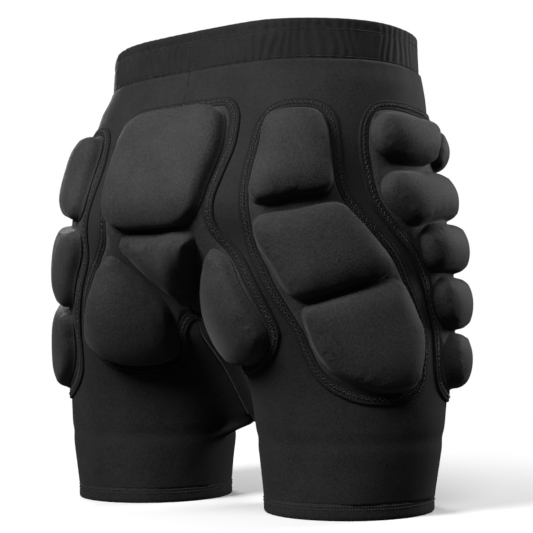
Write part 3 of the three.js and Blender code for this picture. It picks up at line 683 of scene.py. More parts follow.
def stitch(start, end, normal):
    """Points and faces of one stitch: a short spindle of thread lying on the cloth."""
    along = end - start
    across = np.cross(along / np.linalg.norm(along), normal)
    ring = [
        across * STITCH_RADIUS,
        normal * STITCH_BULGE,
        -across * STITCH_RADIUS,
        -normal * STITCH_RADIUS * 0.5,
    ]
    points = [start]
    for share in STITCH_SHOULDERS:
        points += [start + along * share + offset for offset in ring]
    points.append(end)
    faces = []
    for k in range(4):
        n = (k + 1) % 4
        faces += [(0, 1 + n, 1 + k), (1 + k, 1 + n, 5 + n, 5 + k), (5 + k, 5 + n, 9)]
    return points, faces


def stitches(name, lines, side=1):
    """One piece holding many stitches. lines is a list of (start, end, normal) arrays, in mm."""
    points, faces = [], []
    for starts, ends, normals in lines:
        for start, end, normal in zip(starts, ends, normals):
            some, more = stitch(start, end, normal)
            faces += [tuple(len(points) + i for i in face) for face in more]
            points += some
    return new_piece(name, points, faces, THREAD, side)


def running_stitches(line, off, closed=True):
    """Stitches in a row along a line of (s, z), at a distance off."""
    path = np.concatenate([line, line[:1]]) if closed else line
    along = distances_along(path)
    count = max(2, int(along[-1] / RUNNING_PITCH))
    first = np.arange(count) * along[-1] / count
    last = first + along[-1] / count * (1 - RUNNING_GAP)

    def at(distance):
        flat = [np.interp(distance, along, path[:, k]) for k in (0, 1)]
        return on_body(np.column_stack([*flat, np.full(len(distance), off)]))

    starts, stops = at(first), at(last)
    return starts, stops, outward(starts)


def zigzag_stitches(one, other, off, closed=True):
    """Stitches that run to and fro between two lines with equally many points."""
    if closed:
        one, other = np.concatenate([one, one[:1]]), np.concatenate([other, other[:1]])
    length = np.linalg.norm(np.diff(one, axis=0), axis=1).sum()
    count = int(length / ZIGZAG_PITCH) // 2 * 2
    index = np.linspace(0, len(one) - 1, count + 1)
    places = np.arange(len(one))

    def read(line, at):
        return np.stack([np.interp(at, places, line[:, k]) for k in (0, 1)], 1)

    even = (np.arange(count) % 2 == 0)[:, None]
    start = np.where(even, read(one, index[:-1]), read(other, index[:-1]))
    stop = np.where(even, read(other, index[1:]), read(one, index[1:]))
    level = np.full((count, 1), off)
    starts, stops = on_body(np.hstack([start, level])), on_body(np.hstack([stop, level]))
    return starts, stops, outward(starts)


# ------------------------------------------------------------------ pad groups


def side_height(distance):
    """How high a pad's side has risen at a distance in from its outline: steep, then rounded over."""
    share = np.clip(distance / DOME_ROUNDING, 0, 1)
    return DOME_SIDE * (1 - (1 - share) ** DOME_POWER) ** (1 / DOME_POWER)


def evened(values, fixed, triangles):
    """Values at points, averaged over their neighbours a number of times. The first few points are fixed."""
    corners = np.array(triangles)
    pairs = np.concatenate([corners[:, [0, 1]], corners[:, [1, 2]], corners[:, [2, 0]]])
    pairs = np.concatenate([pairs, pairs[:, ::-1]])
    neighbours = np.bincount(pairs[:, 0], minlength=len(values))
    values = values.copy()
    for _ in range(EVENING_ROUNDS):
        total = np.bincount(pairs[:, 0], weights=values[pairs[:, 1]], minlength=len(values))
        values[fixed:] = (total / np.maximum(neighbours, 1))[fixed:]
    return values


def dome(name, corners, crown_height, side=1):
    """A moulded pad: a thin flare where it meets the web, a steep rounded side and a low crown. Its flare
    and floor are pinned, for the cloth simulation that blows it up a little."""
    outline = smooth_outline(corners, DOME_POINTS)
    edge = smooth_outline(corners, DOME_POINTS * EDGE_DETAIL)
    foot = DOME_BASE + DOME_FOOT
    rings = [(inset(outline, inward), DOME_BASE + height) for inward, height in DOME_FLARE]
    rings += [(inset(outline, inward), foot + side_height(inward)) for inward in SIDE_STEPS]
    top_ring, top_height = rings.pop()
    flat = [np.column_stack([ring, np.full(DOME_POINTS, height)]) for ring, height in rings]
    points, triangles = fill(top_ring, DOME_SPACING)
    depth = distance_to(points, edge)
    crown = crown_height * (1 - (1 - depth / depth.max()) ** 2)
    height = evened(foot + side_height(depth) + crown, DOME_POINTS, triangles)
    height[:DOME_POINTS] = top_height
    first = len(rings) * DOME_POINTS
    bottom = first + len(points)
    faces = loop_faces(len(rings) + 1, DOME_POINTS)
    faces += [tuple(first + i for i in triangle) for triangle in triangles]
    faces += [((j + 1) % DOME_POINTS, j, bottom) for j in range(DOME_POINTS)]
    flat += [np.column_stack([points, height]), [[*outline.mean(0), DOME_BASE + DOME_FLARE[0][1]]]]
    piece = wrapped(name, np.concatenate(flat), faces, COVER, side)
    pinned = piece.vertex_groups.new(name="pinned")
    pinned.add(list(range(len(DOME_FLARE) * DOME_POINTS)) + [bottom], 1.0, "REPLACE")
    return piece


def inflate(piece):
    """Blows a pad's cloth up with Blender's cloth simulation, and limits how far a point may move."""
    rest = np.array([v.co for v in piece.data.vertices], float)
    cloth = modifier(piece, "CLOTH")
    cloth.settings.vertex_group_mass = "pinned"
    cloth.settings.use_pressure = True
    cloth.settings.uniform_pressure_force = CLOTH_PRESSURE
    cloth.settings.effector_weights.gravity = 0
    cloth.settings.tension_stiffness = CLOTH_STRETCH_STIFFNESS
    cloth.settings.compression_stiffness = CLOTH_STRETCH_STIFFNESS
    cloth.settings.bending_stiffness = CLOTH_BENDING_STIFFNESS
    cloth.settings.quality = CLOTH_QUALITY
    cloth.point_cache.frame_end = CLOTH_FRAMES
    scene = bpy.context.scene
    for step in range(1, CLOTH_FRAMES + 1):
        scene.frame_set(step)
    apply_modifiers(piece)
    scene.frame_set(1)
    move = np.array([v.co for v in piece.data.vertices], float) - rest
    length = np.linalg.norm(move, axis=1, keepdims=True)
    limit = CLOTH_MOST_MOVE * MM
    move *= limit * np.tanh(length / limit) / np.maximum(length, 1e-9)
    piece.data.vertices.foreach_set("co", (rest + move).astype(np.float32).ravel())
    piece.data.update()


def fill(border, spacing):
    """Points and triangles that fill a closed outline. The outline's own points come first."""
    low, high = border.min(0), border.max(0)
    s, z = np.meshgrid(np.arange(low[0], high[0], spacing), np.arange(low[1], high[1], spacing))
    s = s + (np.arange(s.shape[0]) % 2)[:, None] * spacing / 2
    grid = np.stack([s.ravel(), z.ravel()], 1)
    grid = grid[inside(grid, border)]
    grid = grid[distance_to(grid, border) > spacing * 0.5]
    points = np.concatenate([border, grid])
    edges = [(i, (i + 1) % len(border)) for i in range(len(border))]
    placed, _, triangles = delaunay_2d_cdt([Vector(p) for p in points], edges, [], 0, 1e-6)[:3]
    placed = np.array([tuple(v) for v in placed])
    triangles = np.array([tuple(face) for face in triangles])
    return placed, triangles[inside(placed[triangles].mean(1), border)].tolist()


def part_of_rim(ring, half):
    """A whole ring, or for a group that crosses the centre-back line its left half, from the bottom up."""
    if not half:
        return ring
    on_line = np.abs(ring[:, 0]) < CENTRE_LINE_WIDTH
    top = int(np.argmax(np.where(on_line, ring[:, 1], -np.inf)))
    path = np.roll(ring, -top, 0)
    left = np.concatenate([path[len(path) // 2 :], path[:1]])
    left[[0, -1], 0] = 0
    return left


# The sewn band across its width, as (distance in, off): a folded edge, two grooves of double needle
# stitching and a raised middle under the zigzag.
BAND_PROFILE = [(0.0, -0.2), (0.15, 0.7), (1.0, 1.5), (2.2, 1.55), (2.7, 1.05), (3.3, 1.6), (4.6, 1.75),
                (5.9, 1.6), (6.5, 1.05), (7.1, 1.6), (8.2, 1.5), (SEAM_WIDTH, 1.3)]
ZIGZAG_LINES = (3.4, 5.8)
CENTRE_LINE_WIDTH = 0.3
NEEDLE_LINES = (2.7, 6.5)


def web_height(distance, points):
    """How far out the web lies, by its distance from the sewn band, with a little unevenness."""
    s, z = points.T
    uneven = unevenness(s / WEB_NOISE_SIZE, z / WEB_NOISE_SIZE, 3.1)
    rise = (WEB_OUT - WEB_EDGE_OUT) * ramp(distance, *WEB_RISE)
    return WEB_EDGE_OUT + rise + WEB_UNEVENNESS * uneven * ramp(distance, 0, 6)


def pad_group(name, rim_corners, count, bodies, side, half=False):
    """The web, sewn band, stitching and liner of one group of pads, or of its half on one side."""
    rim = smooth_outline(rim_corners, count)
    closed = not half
    node = "back_pad" if half else name
    rings = [part_of_rim(inset(rim, d), half) for d, _ in BAND_PROFILE]
    size = len(rings[0])
    flat = [np.column_stack([ring, np.full(size, off)]) for ring, (_, off) in zip(rings, BAND_PROFILE)]
    faces = loop_faces(len(flat), size, closed)
    band = sheet(f"{name}_tape", np.concatenate(flat), faces, TAPE, side)
    follow(band, bodies, "seam", f"{node}_seam")

    lines = [running_stitches(part_of_rim(inset(rim, d), half), NEEDLE_OUT, closed) for d in NEEDLE_LINES]
    near, far = (part_of_rim(inset(rim, d), half) for d in ZIGZAG_LINES)
    lines.append(zigzag_stitches(near, far, ZIGZAG_OUT, closed))
    follow(stitches(f"{name}_stitching", lines, side), bodies, "seam")

    border = rings[-1]
    if half:
        steps = int((border[-1, 1] - border[0, 1]) / WEB_SPACING)
        border = np.concatenate([border, np.linspace(border[-1], border[0], steps + 1)[1:-1]])
    points, faces = fill(border, WEB_SPACING)
    height = web_height(distance_to(points, rings[-1]), points)
    web = sheet(f"{name}_web", np.column_stack([points, height]), faces, COVER, side, WEB_THICKNESS)
    follow(web, bodies, "cover_fabric", f"{node}_cover")

    flat = np.column_stack([points, np.full(len(points), LINER_OUT)])
    lining = sheet(f"{name}_lining", flat, faces, LINER, side)
    follow(lining, bodies, "liner", f"{node}_liner")


def pad(name, corners, bodies, side=1, crown_height=DOME_CROWN):
    """One foam block in its moulded cover."""
    piece = dome(name, corners, crown_height, side)
    inflate(piece)
    modifier(piece, "SUBSURF", levels=1, render_levels=1)
    apply_modifiers(piece)
    piece.data.shade_smooth()
    follow(piece, bodies, "foam", name.replace("_pad", "_foam"))


def build_pads():
    """All five pad groups."""
    for side_name, side in SIDES.items():
        crease = ("root", f"{side_name}_thigh")
        pad_group(f"back_pad_{side_name}", mirrored(BACK_EDGE_HALF), 300, crease, side, half=True)
        pad_group(f"{side_name}_hip_pad", HIP_EDGE, 220, crease, side)
        pad_group(f"{side_name}_thigh_pad", THIGH_EDGE, 280, crease, side)
        pad(f"{side_name}_buttock_pad", BUTTOCK_FOAM, crease, side)
        for name, corners in HIP_FOAMS.items():
            pad(f"{side_name}_hip_{name}_pad", corners, ("root",) if name == "upper" else crease, side)
        for name, corners in THIGH_FOAMS.items():
            rigid = name.startswith("row_1")
            pad(f"{side_name}_thigh_{name}_pad", corners, ("root",) if rigid else crease, side)
    pad("sacrum_pad", BACK_FOAMS["sacrum"], ("root",))
    pad("tailbone_pad", BACK_FOAMS["tailbone"], ("root",), crown_height=TAILBONE_CROWN)


# ------------------------------------------------------------------ shell and hems

AROUND = 96
LEG_HEIGHTS = np.linspace(HEM_TOP - 1.5, CROTCH, 11)
SEAT_HEIGHTS = np.concatenate([[LOWEST_OPEN, 80, 86], np.linspace(93, BAND_BOTTOM + 2, 48)])
RIM_POINTS = 160
WRINKLE_FADE = (1, 16)
# Depths of the wrinkles, and their noise as (size across, size up, shift).
BROAD_WRINKLE = 0.55
BROAD_SIZES = (34, 60, 0)
FINE_WRINKLE = 0.22
FINE_SIZES = (9, 26, 7)
GATHER_SIZES = (4.5, 40, 2)
BAND_GATHER = 0.9
BAND_GATHER_REACH = 26
HEM_GATHER = 0.5
HEM_GATHER_REACH = 12
lower = HalfCurves(np.linspace(0, CROTCH, 16))


def rims():
    """The outlines of the pad groups on the left half, in (s, z)."""
    return [smooth_outline(c, RIM_POINTS) for c in (mirrored(BACK_EDGE_HALF), HIP_EDGE, THIGH_EDGE)]


def shell_wrinkles(s, z, points):
    """How far the shell's cloth stands off its smooth shape: gathers under the waistband and over the hem,
    and faint creases elsewhere. It lies flat at the sewn bands."""
    flat = np.stack([s, z], 1)
    free = np.ones(len(s))
    for rim in rims():
        free *= np.where(inside(flat, rim), 0, ramp(distance_to(flat, rim), *WRINKLE_FADE))
    x, y, h = points.T

    def ripples(across, along, shift):
        return unevenness(x / across, y / across, h / along + shift)

    near_band = np.maximum(0.0, 1 - (BAND_BOTTOM - h) / BAND_GATHER_REACH)
    near_hem = np.maximum(0.0, 1 - (h - HEM_TOP) / HEM_GATHER_REACH)
    gathers = (BAND_GATHER * near_band + HEM_GATHER * near_hem) * ripples(*GATHER_SIZES)
    wrinkles = BROAD_WRINKLE * ripples(*BROAD_SIZES) + FINE_WRINKLE * ripples(*FINE_SIZES)
    return (wrinkles + gathers) * free


def shell(side_name):
    """One side of the stretch shell, from hem to waistband. A triangle under the crotch joins the tube of
    the leg to the half tube of the seat."""
    count = AROUND + 1
    rows, arcs = [], []
    for curves, heights in ((lower, LEG_HEIGHTS), (body, SEAT_HEIGHTS)):
        for z in heights:
            s = np.interp(z, curves.z, curves.length) * np.linspace(1, 0, count)
            rows.append(curves.at(s, np.full_like(s, z)))
            arcs.append(s)
    points = np.concatenate(rows)
    off = SHELL_OUT + shell_wrinkles(np.concatenate(arcs), points[:, 2], points)
    points = points + outward(points) * off[:, None]
    split = len(LEG_HEIGHTS)
    grid = points.reshape(-1, count, 3)
    grid[split:, [0, -1], 0] = 0
    faces = loop_faces(len(grid), count, closed=False)
    faces.append(((split - 1) * count, split * count, split * count + AROUND))
    last_of_row = {i * count + AROUND: i * count for i in range(split)}
    faces = [tuple(last_of_row.get(v, v) for v in face) for face in faces]
    points, faces = without_loose(grid.reshape(-1, 3), faces)
    piece = new_piece(f"{side_name}_shell", points, faces, SHELL, SIDES[side_name])
    modifier(piece, "SUBSURF", levels=1, render_levels=1)
    modifier(piece, "SOLIDIFY", thickness=SHELL_THICKNESS * MM, offset=-1)
    apply_modifiers(piece)
    nodes = [f"{side_name}_{part}_panel" for part in ("seat", "crease", "leg")]
    follow(piece, ("root", f"{side_name}_thigh"), "shell_fabric", *nodes)


def without_loose(points, faces):
    """Points and faces without the points that no face uses."""
    used = sorted({v for face in faces for v in face})
    order = {old: new for new, old in enumerate(used)}
    return points[used], [tuple(order[v] for v in face) for face in faces]


# The folded hem's cross-section, as (z, off).
HEM_SECTION = [(HEM_TOP + 0.6, -0.45), (HEM_TOP, 0.15), (HEM_TOP - 1, 0.35), (8.5, 0.3), (4, 0.4),
               (1.2, 0.25), (0.2, -0.4), (0.0, -1.1), (0.3, -1.9), (1.5, -2.35), (7, -2.4), (HEM_TOP, -2.4)]
HEM_POINTS = 180
HEM_WAVE = 0.35
HEM_WAVE_SIZE = 7
HEM_STITCH_HEIGHTS = (11.4, 8.9)
HEM_STITCH_OUT = 0.4
HEM_STITCH_SHARE = 0.72


def leg_ring(count):
    """Points round the left leg at hem level and their outward directions, level with the ground."""
    z = HEM_TOP / 2
    length = np.interp(z, lower.z, lower.length)
    s = length * np.linspace(1, 0, count, endpoint=False)
    points = lower.at(s, np.full(count, z))
    normals = outward(points)
    normals[:, 2] = 0
    return points, normals / np.linalg.norm(normals, axis=1, keepdims=True)


def hem(side_name):
    """The folded hem, slightly wavy, and its two rows of cover stitching."""
    side = SIDES[side_name]
    thigh = (f"{side_name}_thigh",)
    ring, normals = leg_ring(HEM_POINTS)
    wave = unevenness(ring[:, 0] / HEM_WAVE_SIZE, ring[:, 1] / HEM_WAVE_SIZE, 5.0)
    rows = []
    for z, off in HEM_SECTION:
        row = ring + normals * (off + HEM_WAVE * wave * ramp(z, 0, 6))[:, None]
        row[:, 2] = z
        rows.append(row)
    faces = [tuple(reversed(face)) for face in ring_faces(len(rows), HEM_POINTS)]
    piece = new_piece(f"{side_name}_hem_fold", np.concatenate(rows), faces, SHELL, side)
    follow(piece, thigh, "shell_fabric", f"{side_name}_hem")
    lines = []
    for height in HEM_STITCH_HEIGHTS:
        around = ring + normals * (HEM_STITCH_OUT + HEM_WAVE * wave)[:, None]
        around[:, 2] = height
        stop = around + (np.roll(around, -1, 0) - around) * HEM_STITCH_SHARE
        lines.append((around, stop, normals))
    follow(stitches(f"{side_name}_hem_stitching", lines, side), thigh, "seam")


# ------------------------------------------------------------------ waistband

GATHERS = 200
GATHER_DEPTH = 2.4
GATHER_WANDER = 5.0
WANDER_SIZE = 22
WANDER_HEIGHT = 26
WANDER_DEPTH = 0.4
PATCH_SIZE = 45
LEAST_FULLNESS = 0.4
FULLER_FROM = (-10, 30)
FRONT_LOSS = 0.25
FRONT_FROM = (250, 380)
INNER_GATHER = 0.3
TOPSTITCH = BAND_TOP - 10
# Where stitching holds the casing flat, as (height, how far its hold reaches).
HELD_LINES = [(BAND_BOTTOM + 1, 4.0), (TOPSTITCH, 2.5)]
# The rows of topstitching, as (height, distance out).
TOPSTITCH_ROWS = [(TOPSTITCH, 1.2), (BAND_BOTTOM + 1.6, 1.1), (BAND_BOTTOM + 4.2, 1.2)]
TOPSTITCH_SHARE = 0.7
BAND_STATIONS = 640
BAND_SEAM_TOP = BAND_TOP - 11
BAND_SEAM_BOTTOM = BAND_BOTTOM + 8
BAND_SEAM_WIDTH = 1.6
BAND_SEAM_DEPTH = 0.6
BAND_SEAM_PITCH = 2.6
BAND_SEAM_STITCH = 1.9
BAND_SEAM_ROWS = (-1.5, 1.5)
# The casing's plies: distances out of the outer face, of the pocket's two walls and of the inner face.
PLY_OUT = 1.2
POCKET_OUT = 0.2
POCKET_IN = -5.3
PLY_IN = -6.2
POCKET_SLACK = 0.3


def waist_ring(count):
    """Points all round the waist, from centre front by the left to centre back and on, their level outward
    directions, their distances s, and the distance from centre front to centre back."""
    length = np.interp(WAIST_MIDDLE, body.z, body.length)
    s = length - 2 * length * np.arange(count) / count
    points = body.at(np.abs(s), np.full(count, WAIST_MIDDLE))
    normals = outward(points)
    normals[:, 2] = 0
    normals /= np.linalg.norm(normals, axis=1, keepdims=True)
    mirror = np.where(s < 0, -1, 1)
    points[:, 0] *= mirror
    normals[:, 0] *= mirror
    return points, normals, s, length


def gather_height(s, z, points, length):
    """The ripples that the elastic draws into the casing: strong between the stitch lines, fuller on the
    left."""
    phase = math.pi * GATHERS * s / length / 2
    x, y = points[:, 0], points[:, 1]
    wander = unevenness(x / WANDER_SIZE, y / WANDER_SIZE, z / WANDER_HEIGHT)
    patch = unevenness(x / PATCH_SIZE, y / PATCH_SIZE, 9.0)
    ripple = np.sin(phase + GATHER_WANDER * wander)
    fuller = (1 - LEAST_FULLNESS) * ramp(s, *FULLER_FROM)
    fullness = LEAST_FULLNESS + fuller - FRONT_LOSS * ramp(s, *FRONT_FROM)
    held = np.prod([ramp(abs(z - height), 0, reach) for height, reach in HELD_LINES])
    top = 1 - ramp(z, BAND_TOP - 4, BAND_TOP)
    seam = np.exp(-((s / BAND_SEAM_WIDTH) ** 2)) * ramp(z, BAND_SEAM_BOTTOM - 4, BAND_SEAM_BOTTOM)
    pinch = (0.2 + 0.8 * held) * (0.4 + 0.6 * top)
    gathers = GATHER_DEPTH * (1 + ripple) / 2 * (0.7 + patch) * fullness * pinch
    return gathers + WANDER_DEPTH * wander * held - BAND_SEAM_DEPTH * seam


def band_section():
    """The casing's cross-section as (off, z, outer side?) from the bottom of the outer ply over the fold."""
    outer = [(PLY_OUT, z, True) for z in np.linspace(BAND_BOTTOM, BAND_TOP - 2, 15)]
    fold = []
    for turn in np.radians(np.linspace(12, 168, 7)):
        fold.append((-2.5 + 3.6 * math.cos(turn), BAND_TOP - 2 + 2 * math.sin(turn), True))
    inner = [(PLY_IN, z, False) for z in np.linspace(BAND_TOP - 2, BAND_BOTTOM, 7)]
    pocket_top = BAND_TOP - 3.4
    back = [(POCKET_IN, BAND_BOTTOM, False), (POCKET_IN, pocket_top, False), (POCKET_OUT, pocket_top, False),
            (POCKET_OUT, BAND_BOTTOM, False)]
    return outer + fold + inner + back


def waistband():
    """The gathered casing with its topstitching."""
    ring, normals, s, length = waist_ring(BAND_STATIONS)
    rows = []
    for off, z, is_outer in band_section():
        ripple = gather_height(s, z, ring, length) * (1 if is_outer else INNER_GATHER)
        if off == POCKET_OUT:
            ripple = ripple - POCKET_SLACK
        row = ring + normals * (off + ripple)[:, None]
        row[:, 2] = z
        rows.append(row)
    faces = ring_faces(len(rows), BAND_STATIONS)
    piece = new_piece("waistband_gathered", np.concatenate(rows), faces, BAND)
    follow(piece, ("root",), "band_fabric", "waistband_casing")

    lines = []
    fine, out, fine_s, _ = waist_ring(BAND_STATIONS * 2)
    for height, lift in TOPSTITCH_ROWS:
        line = fine + out * (lift + gather_height(fine_s, height, fine, length))[:, None]
        line[:, 2] = height
        lines.append((line, line + (np.roll(line, -1, 0) - line) * TOPSTITCH_SHARE, out))
    lines += [band_seam_stitches(offset) for offset in BAND_SEAM_ROWS]
    follow(stitches("waistband_stitching", lines), ("root",), "seam")


def band_seam_stitches(offset):
    """A row of stitches up the casing beside its centre-back join."""
    heights = np.arange(BAND_SEAM_BOTTOM, BAND_SEAM_TOP, BAND_SEAM_PITCH)
    fine, out, fine_s, length = waist_ring(BAND_STATIONS * 2)
    near = int(np.argmin(np.abs(fine_s - offset)))
    lift = [PLY_OUT + 0.15 + gather_height(fine_s, z, fine, length)[near] for z in heights]
    starts = fine[near] + out[near] * np.array(lift)[:, None]
    starts[:, 2] = heights
    return starts, starts + np.array([0, 0, BAND_SEAM_STITCH]), np.repeat(out[near][None], len(heights), 0)


# ------------------------------------------------------------------ eyelets and cords

CORD_RADIUS = 1.3
EYELET_X = 16.0
EYELET_HEIGHT = BAND_TOP - 17
CASING_OUT = 1.2
# The rolled ring's cross-section, as (radius, distance out).
EYELET_SECTION = [(2.2, -1.6), (4.0, -1.7), (4.3, -1.45), (4.0, -1.2), (2.9, -1.15), (2.8, 0.3), (4.2, 0.32),
                  (5.0, 0.45), (4.9, 0.75), (4.2, 1.15), (3.3, 1.3), (2.5, 1.1), (2.2, 0.6)]
EYELET_POINTS = 48
# How a cord hangs: CORD_STUB out of the eyelet, then down by CORD_DROP to its knot, leaning outward.
CORD_STUB = 4.4
CORD_DROP = 105.0
CORD_FORWARD = 6.3
CORD_SPREAD = 8.0
CORD_TAIL = 8
CORD_STEPS = 26
CORD_POINTS = 20
BRAID_STRANDS = 6
BRAID_TWIST = 1.5
BRAID_RELIEF = 0.1
KNOT_POINTS = 90
KNOT_DEPTH = 1.1


def eyelet_place():
    """Where the left eyelet sits and its outward direction."""
    length = np.interp(WAIST_MIDDLE, body.z, body.length)
    point = body.at(np.array([length - EYELET_X]), np.array([WAIST_MIDDLE]))
    out = outward(point)[0] * (1, 1, 0)
    out /= np.linalg.norm(out)
    place = point[0] + out * CASING_OUT
    place[2] = EYELET_HEIGHT
    return place, out


def eyelet(side_name):
    """A rolled metal eyelet."""
    place, out = eyelet_place()
    across = np.array([-out[1], out[0], 0])
    turn = np.linspace(0, 2 * math.pi, EYELET_POINTS, endpoint=False)[:, None]
    circle = np.cos(turn) * across + np.sin(turn) * (0, 0, 1)
    rows = [place + out * depth + radius * circle for radius, depth in EYELET_SECTION]
    faces = ring_faces(len(rows), EYELET_POINTS)
    piece = new_piece(f"{side_name}_eyelet_ring", np.concatenate(rows), faces, METAL, SIDES[side_name])
    follow(piece, ("root",), "eyelet", f"{side_name}_eyelet")


def braid(path, closed=False):
    """Points and faces of a braided cord along a path: strands crossing over each other both ways."""
    tangent = np.roll(path, -1, 0) - np.roll(path, 1, 0)
    if not closed:
        tangent[0], tangent[-1] = path[1] - path[0], path[-1] - path[-2]
    tangent /= np.linalg.norm(tangent, axis=1, keepdims=True)
    turn = np.linspace(0, 2 * math.pi, CORD_POINTS, endpoint=False)
    strands = BRAID_STRANDS / 2 * turn
    frame_x = np.cross(tangent[0], (0.3, 0.9, 0.2))
    rows = []
    for centre, ahead, twist in zip(path, tangent, distances_along(path) * BRAID_TWIST):
        frame_x = frame_x - ahead * (frame_x @ ahead)
        frame_x /= np.linalg.norm(frame_x)
        frame_y = np.cross(ahead, frame_x)
        relief = np.maximum(np.cos(strands + twist), np.cos(strands - twist))
        size = CORD_RADIUS * (0.92 + BRAID_RELIEF * relief)[:, None]
        rows.append(centre + size * (np.cos(turn)[:, None] * frame_x + np.sin(turn)[:, None] * frame_y))
    points = np.concatenate(rows)
    if closed:
        return points, ring_faces(len(rows), CORD_POINTS)
    last = len(points) - CORD_POINTS
    caps = [tuple(range(CORD_POINTS))[::-1], tuple(range(last, len(points)))]
    return points, loop_faces(len(rows), CORD_POINTS) + caps


def curve_through(corners, steps):
    """A smooth open curve through points."""
    p = np.array(corners, float)
    p = np.concatenate([[2 * p[0] - p[1]], p, [2 * p[-1] - p[-2]]])
    pieces = []
    for a, b, c, d in zip(p, p[1:], p[2:], p[3:]):
        t = np.linspace(0, 1, steps, endpoint=False)[:, None]
        square = 2.5 * (c - b) - (c - a) - (d - b) / 2 + (c - b) / 2
        cube = 2 * (b - c) + (c - a) / 2 + (d - b) / 2
        pieces.append(b + (c - a) / 2 * t + square * t**2 + cube * t**3)
    return np.concatenate(pieces + [p[-2:-1]])


def cord_end(side_name):
    """A braided cord that comes out of the eyelet, hangs down and ends in an overhand knot."""
    place, out = eyelet_place()

    def at(forward, drop, sideways):
        return place + out * forward + (sideways, 0, -drop)

    knot_place = at(CORD_STUB + CORD_FORWARD, CORD_DROP, CORD_SPREAD)
    hang = curve_through([
        at(-0.6, 0, 0),
        at(CORD_STUB - 1.6, 0.1, 0),
        at(CORD_STUB - 0.3, 1.4, 0.1),
        at(CORD_STUB, 4.5, 0.4),
        at(CORD_STUB + 0.3, CORD_DROP / 4, CORD_SPREAD / 5),
        at(CORD_STUB + 0.8, CORD_DROP / 2, CORD_SPREAD / 2),
        knot_place,
        at(CORD_STUB + CORD_FORWARD, CORD_DROP + CORD_TAIL, CORD_SPREAD + 0.3),
    ], CORD_STEPS)
    points, faces = braid(hang)
    turn = np.linspace(0, 2 * math.pi, KNOT_POINTS, endpoint=False)
    across = np.sin(turn) + 2 * np.sin(2 * turn)
    along = np.cos(turn) - 2 * np.cos(2 * turn)
    trefoil = np.stack([across, -np.sin(3 * turn) * KNOT_DEPTH, along], 1)
    more, more_faces = braid(knot_place + trefoil, closed=True)
    faces += [tuple(len(points) + i for i in face) for face in more_faces]
    points = np.concatenate([points, more])
    piece = new_piece(f"{side_name}_cord", points, faces, CORD, SIDES[side_name])
    follow(piece, (f"{side_name}_cord",), "cord", f"{side_name}_cord_end")


def inside_waistband(name, node_name, material, slot):
    """The shape of a CAD node that lies in the waistband, drawn in with it."""
    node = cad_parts[node_name]
    points = np.array([tuple(node.matrix_world @ vertex.co) for vertex in node.data.vertices]) / MM
    points[:, 1] += CENTRE_Y
    faces = [tuple(face.vertices) for face in node.data.polygons]
    follow(new_piece(name, points, faces, material), ("root",), slot, node_name)


# ------------------------------------------------------------------ floor, light and camera

WORLD_LIGHT = 0.07
BACKDROP = 1.0
FLOOR_TONE = 0.97
FLOOR_BOUNCE = 0.08
FLOOR_FADE = (0.25, 0.6)
FLOOR_SIZE = 6.0
LIGHT_TARGET = Vector((0, 0, 0.22))
# Each light's azimuth and elevation in degrees, distance and size in metres, and power in watts.
LIGHTS = {
    "key": (168, 36, 1.6, 0.7, 31),
    "top": (228, 55, 1.8, 0.8, 9),
    "left_rim": (55, 20, 1.6, 0.7, 15),
    "right_rim": (328, 22, 1.6, 0.7, 15),
}
CAMERA = {"azimuth": 215.72, "elevation": -3.56, "roll": -0.71, "distance": 1.1239, "lens": 81.9}
CAMERA_TARGET = Vector((-7.8, -5.6 - CENTRE_Y, 212.7)) * MM


def direction(azimuth, elevation):
    """The direction of a viewer at an azimuth and an elevation in degrees. Azimuth 0 is in front."""
    a, e = math.radians(azimuth), math.radians(elevation)
    return Vector((math.sin(a) * math.cos(e), -math.cos(a) * math.cos(e), math.sin(e)))


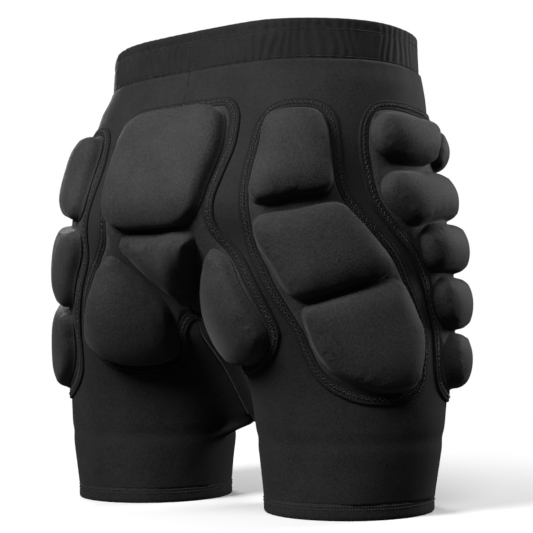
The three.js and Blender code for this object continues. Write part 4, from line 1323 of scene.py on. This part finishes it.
def floor():
    """A pale floor that fades into the backdrop with distance. Seen from below it is clear."""
    corners = [(x * FLOOR_SIZE, y * FLOOR_SIZE, 0) for x, y in ((-1, -1), (1, -1), (1, 1), (-1, 1))]
    mesh = bpy.data.meshes.new("floor")
    mesh.from_pydata(corners, [], [(0, 1, 2, 3)])
    piece = new_object("floor", mesh)
    material, nodes = node_material("floor")
    tree = material.node_tree
    seen = nodes.add("LightPath").outputs["Is Camera Ray"]
    surfaced(material, nodes, {
        "Base Color": nodes.mixed(seen, grey(FLOOR_BOUNCE), grey(FLOOR_TONE)),
        "Roughness": 0.9,
        "Specular IOR Level": 0.0,
    })
    geometry = nodes.add("NewGeometry").outputs
    away = nodes.add("VectorMath", {0: geometry["Position"]}, operation="LENGTH").outputs["Value"]
    fade = nodes.stretched(away, *FLOOR_FADE, interpolation_type="SMOOTHSTEP")
    glow_strength = nodes.add("Math", {0: seen, 1: BACKDROP}, operation="MULTIPLY").outputs[0]
    glow = nodes.add("Emission", {"Strength": glow_strength}).outputs[0]
    lit = tree.nodes["Principled BSDF"].outputs[0]
    shown = nodes.add("MixShader", {0: fade, 1: lit, 2: glow}).outputs[0]
    clear = nodes.add("BsdfTransparent").outputs[0]
    one_sided = nodes.add("MixShader", {0: geometry["Backfacing"], 1: shown, 2: clear}).outputs[0]
    nodes.plug(tree.nodes["Material Output"], {"Surface": one_sided})
    mesh.materials.append(material)


def backdrop():
    """A world that is white to the camera and gives only a little light."""
    world = bpy.data.worlds.new("studio")
    bpy.context.scene.world = world
    world.use_nodes = True
    nodes = Nodes(world.node_tree)
    seen = nodes.add("LightPath").outputs["Is Camera Ray"]
    strength = nodes.stretched(seen, 0.0, 1.0, WORLD_LIGHT, BACKDROP)
    nodes.plug(world.node_tree.nodes["Background"], {"Strength": strength, "Color": (1, 1, 1, 1)})
    bpy.context.scene.view_settings.view_transform = "Standard"


def lights():
    """Soft round lights, aimed at the middle of the shorts."""
    for name, (azimuth, elevation, distance, size, power) in LIGHTS.items():
        data = bpy.data.lights.new(name, "AREA")
        data.shape = "DISK"
        data.size = size
        data.energy = power
        light = new_object(name, data)
        toward = direction(azimuth, elevation)
        light.location = LIGHT_TARGET + toward * distance
        light.rotation_euler = toward.to_track_quat("Z", "Y").to_euler()


def camera():
    """The photograph's viewing angle."""
    data = bpy.data.cameras.new("camera")
    data.lens = CAMERA["lens"]
    data.sensor_width = 36.0
    data.clip_start = 0.01
    eye = new_object("camera", data)
    toward = direction(CAMERA["azimuth"], CAMERA["elevation"])
    eye.location = CAMERA_TARGET + toward * CAMERA["distance"]
    roll = Quaternion((0, 0, 1), math.radians(CAMERA["roll"]))
    eye.rotation_mode = "QUATERNION"
    eye.rotation_quaternion = toward.to_track_quat("Z", "Y") @ roll
    bpy.context.scene.camera = eye


# ------------------------------------------------------------------ build

build_pads()
for side_name in SIDES:
    shell(side_name)
    hem(side_name)
waistband()
for side_name in SIDES:
    eyelet(side_name)
    cord_end(side_name)
inside_waistband("elastic_band", "waist_elastic", ELASTIC, "elastic")
inside_waistband("drawstring_cord", "drawstring", CORD, "cord")
floor()
backdrop()
lights()
camera()
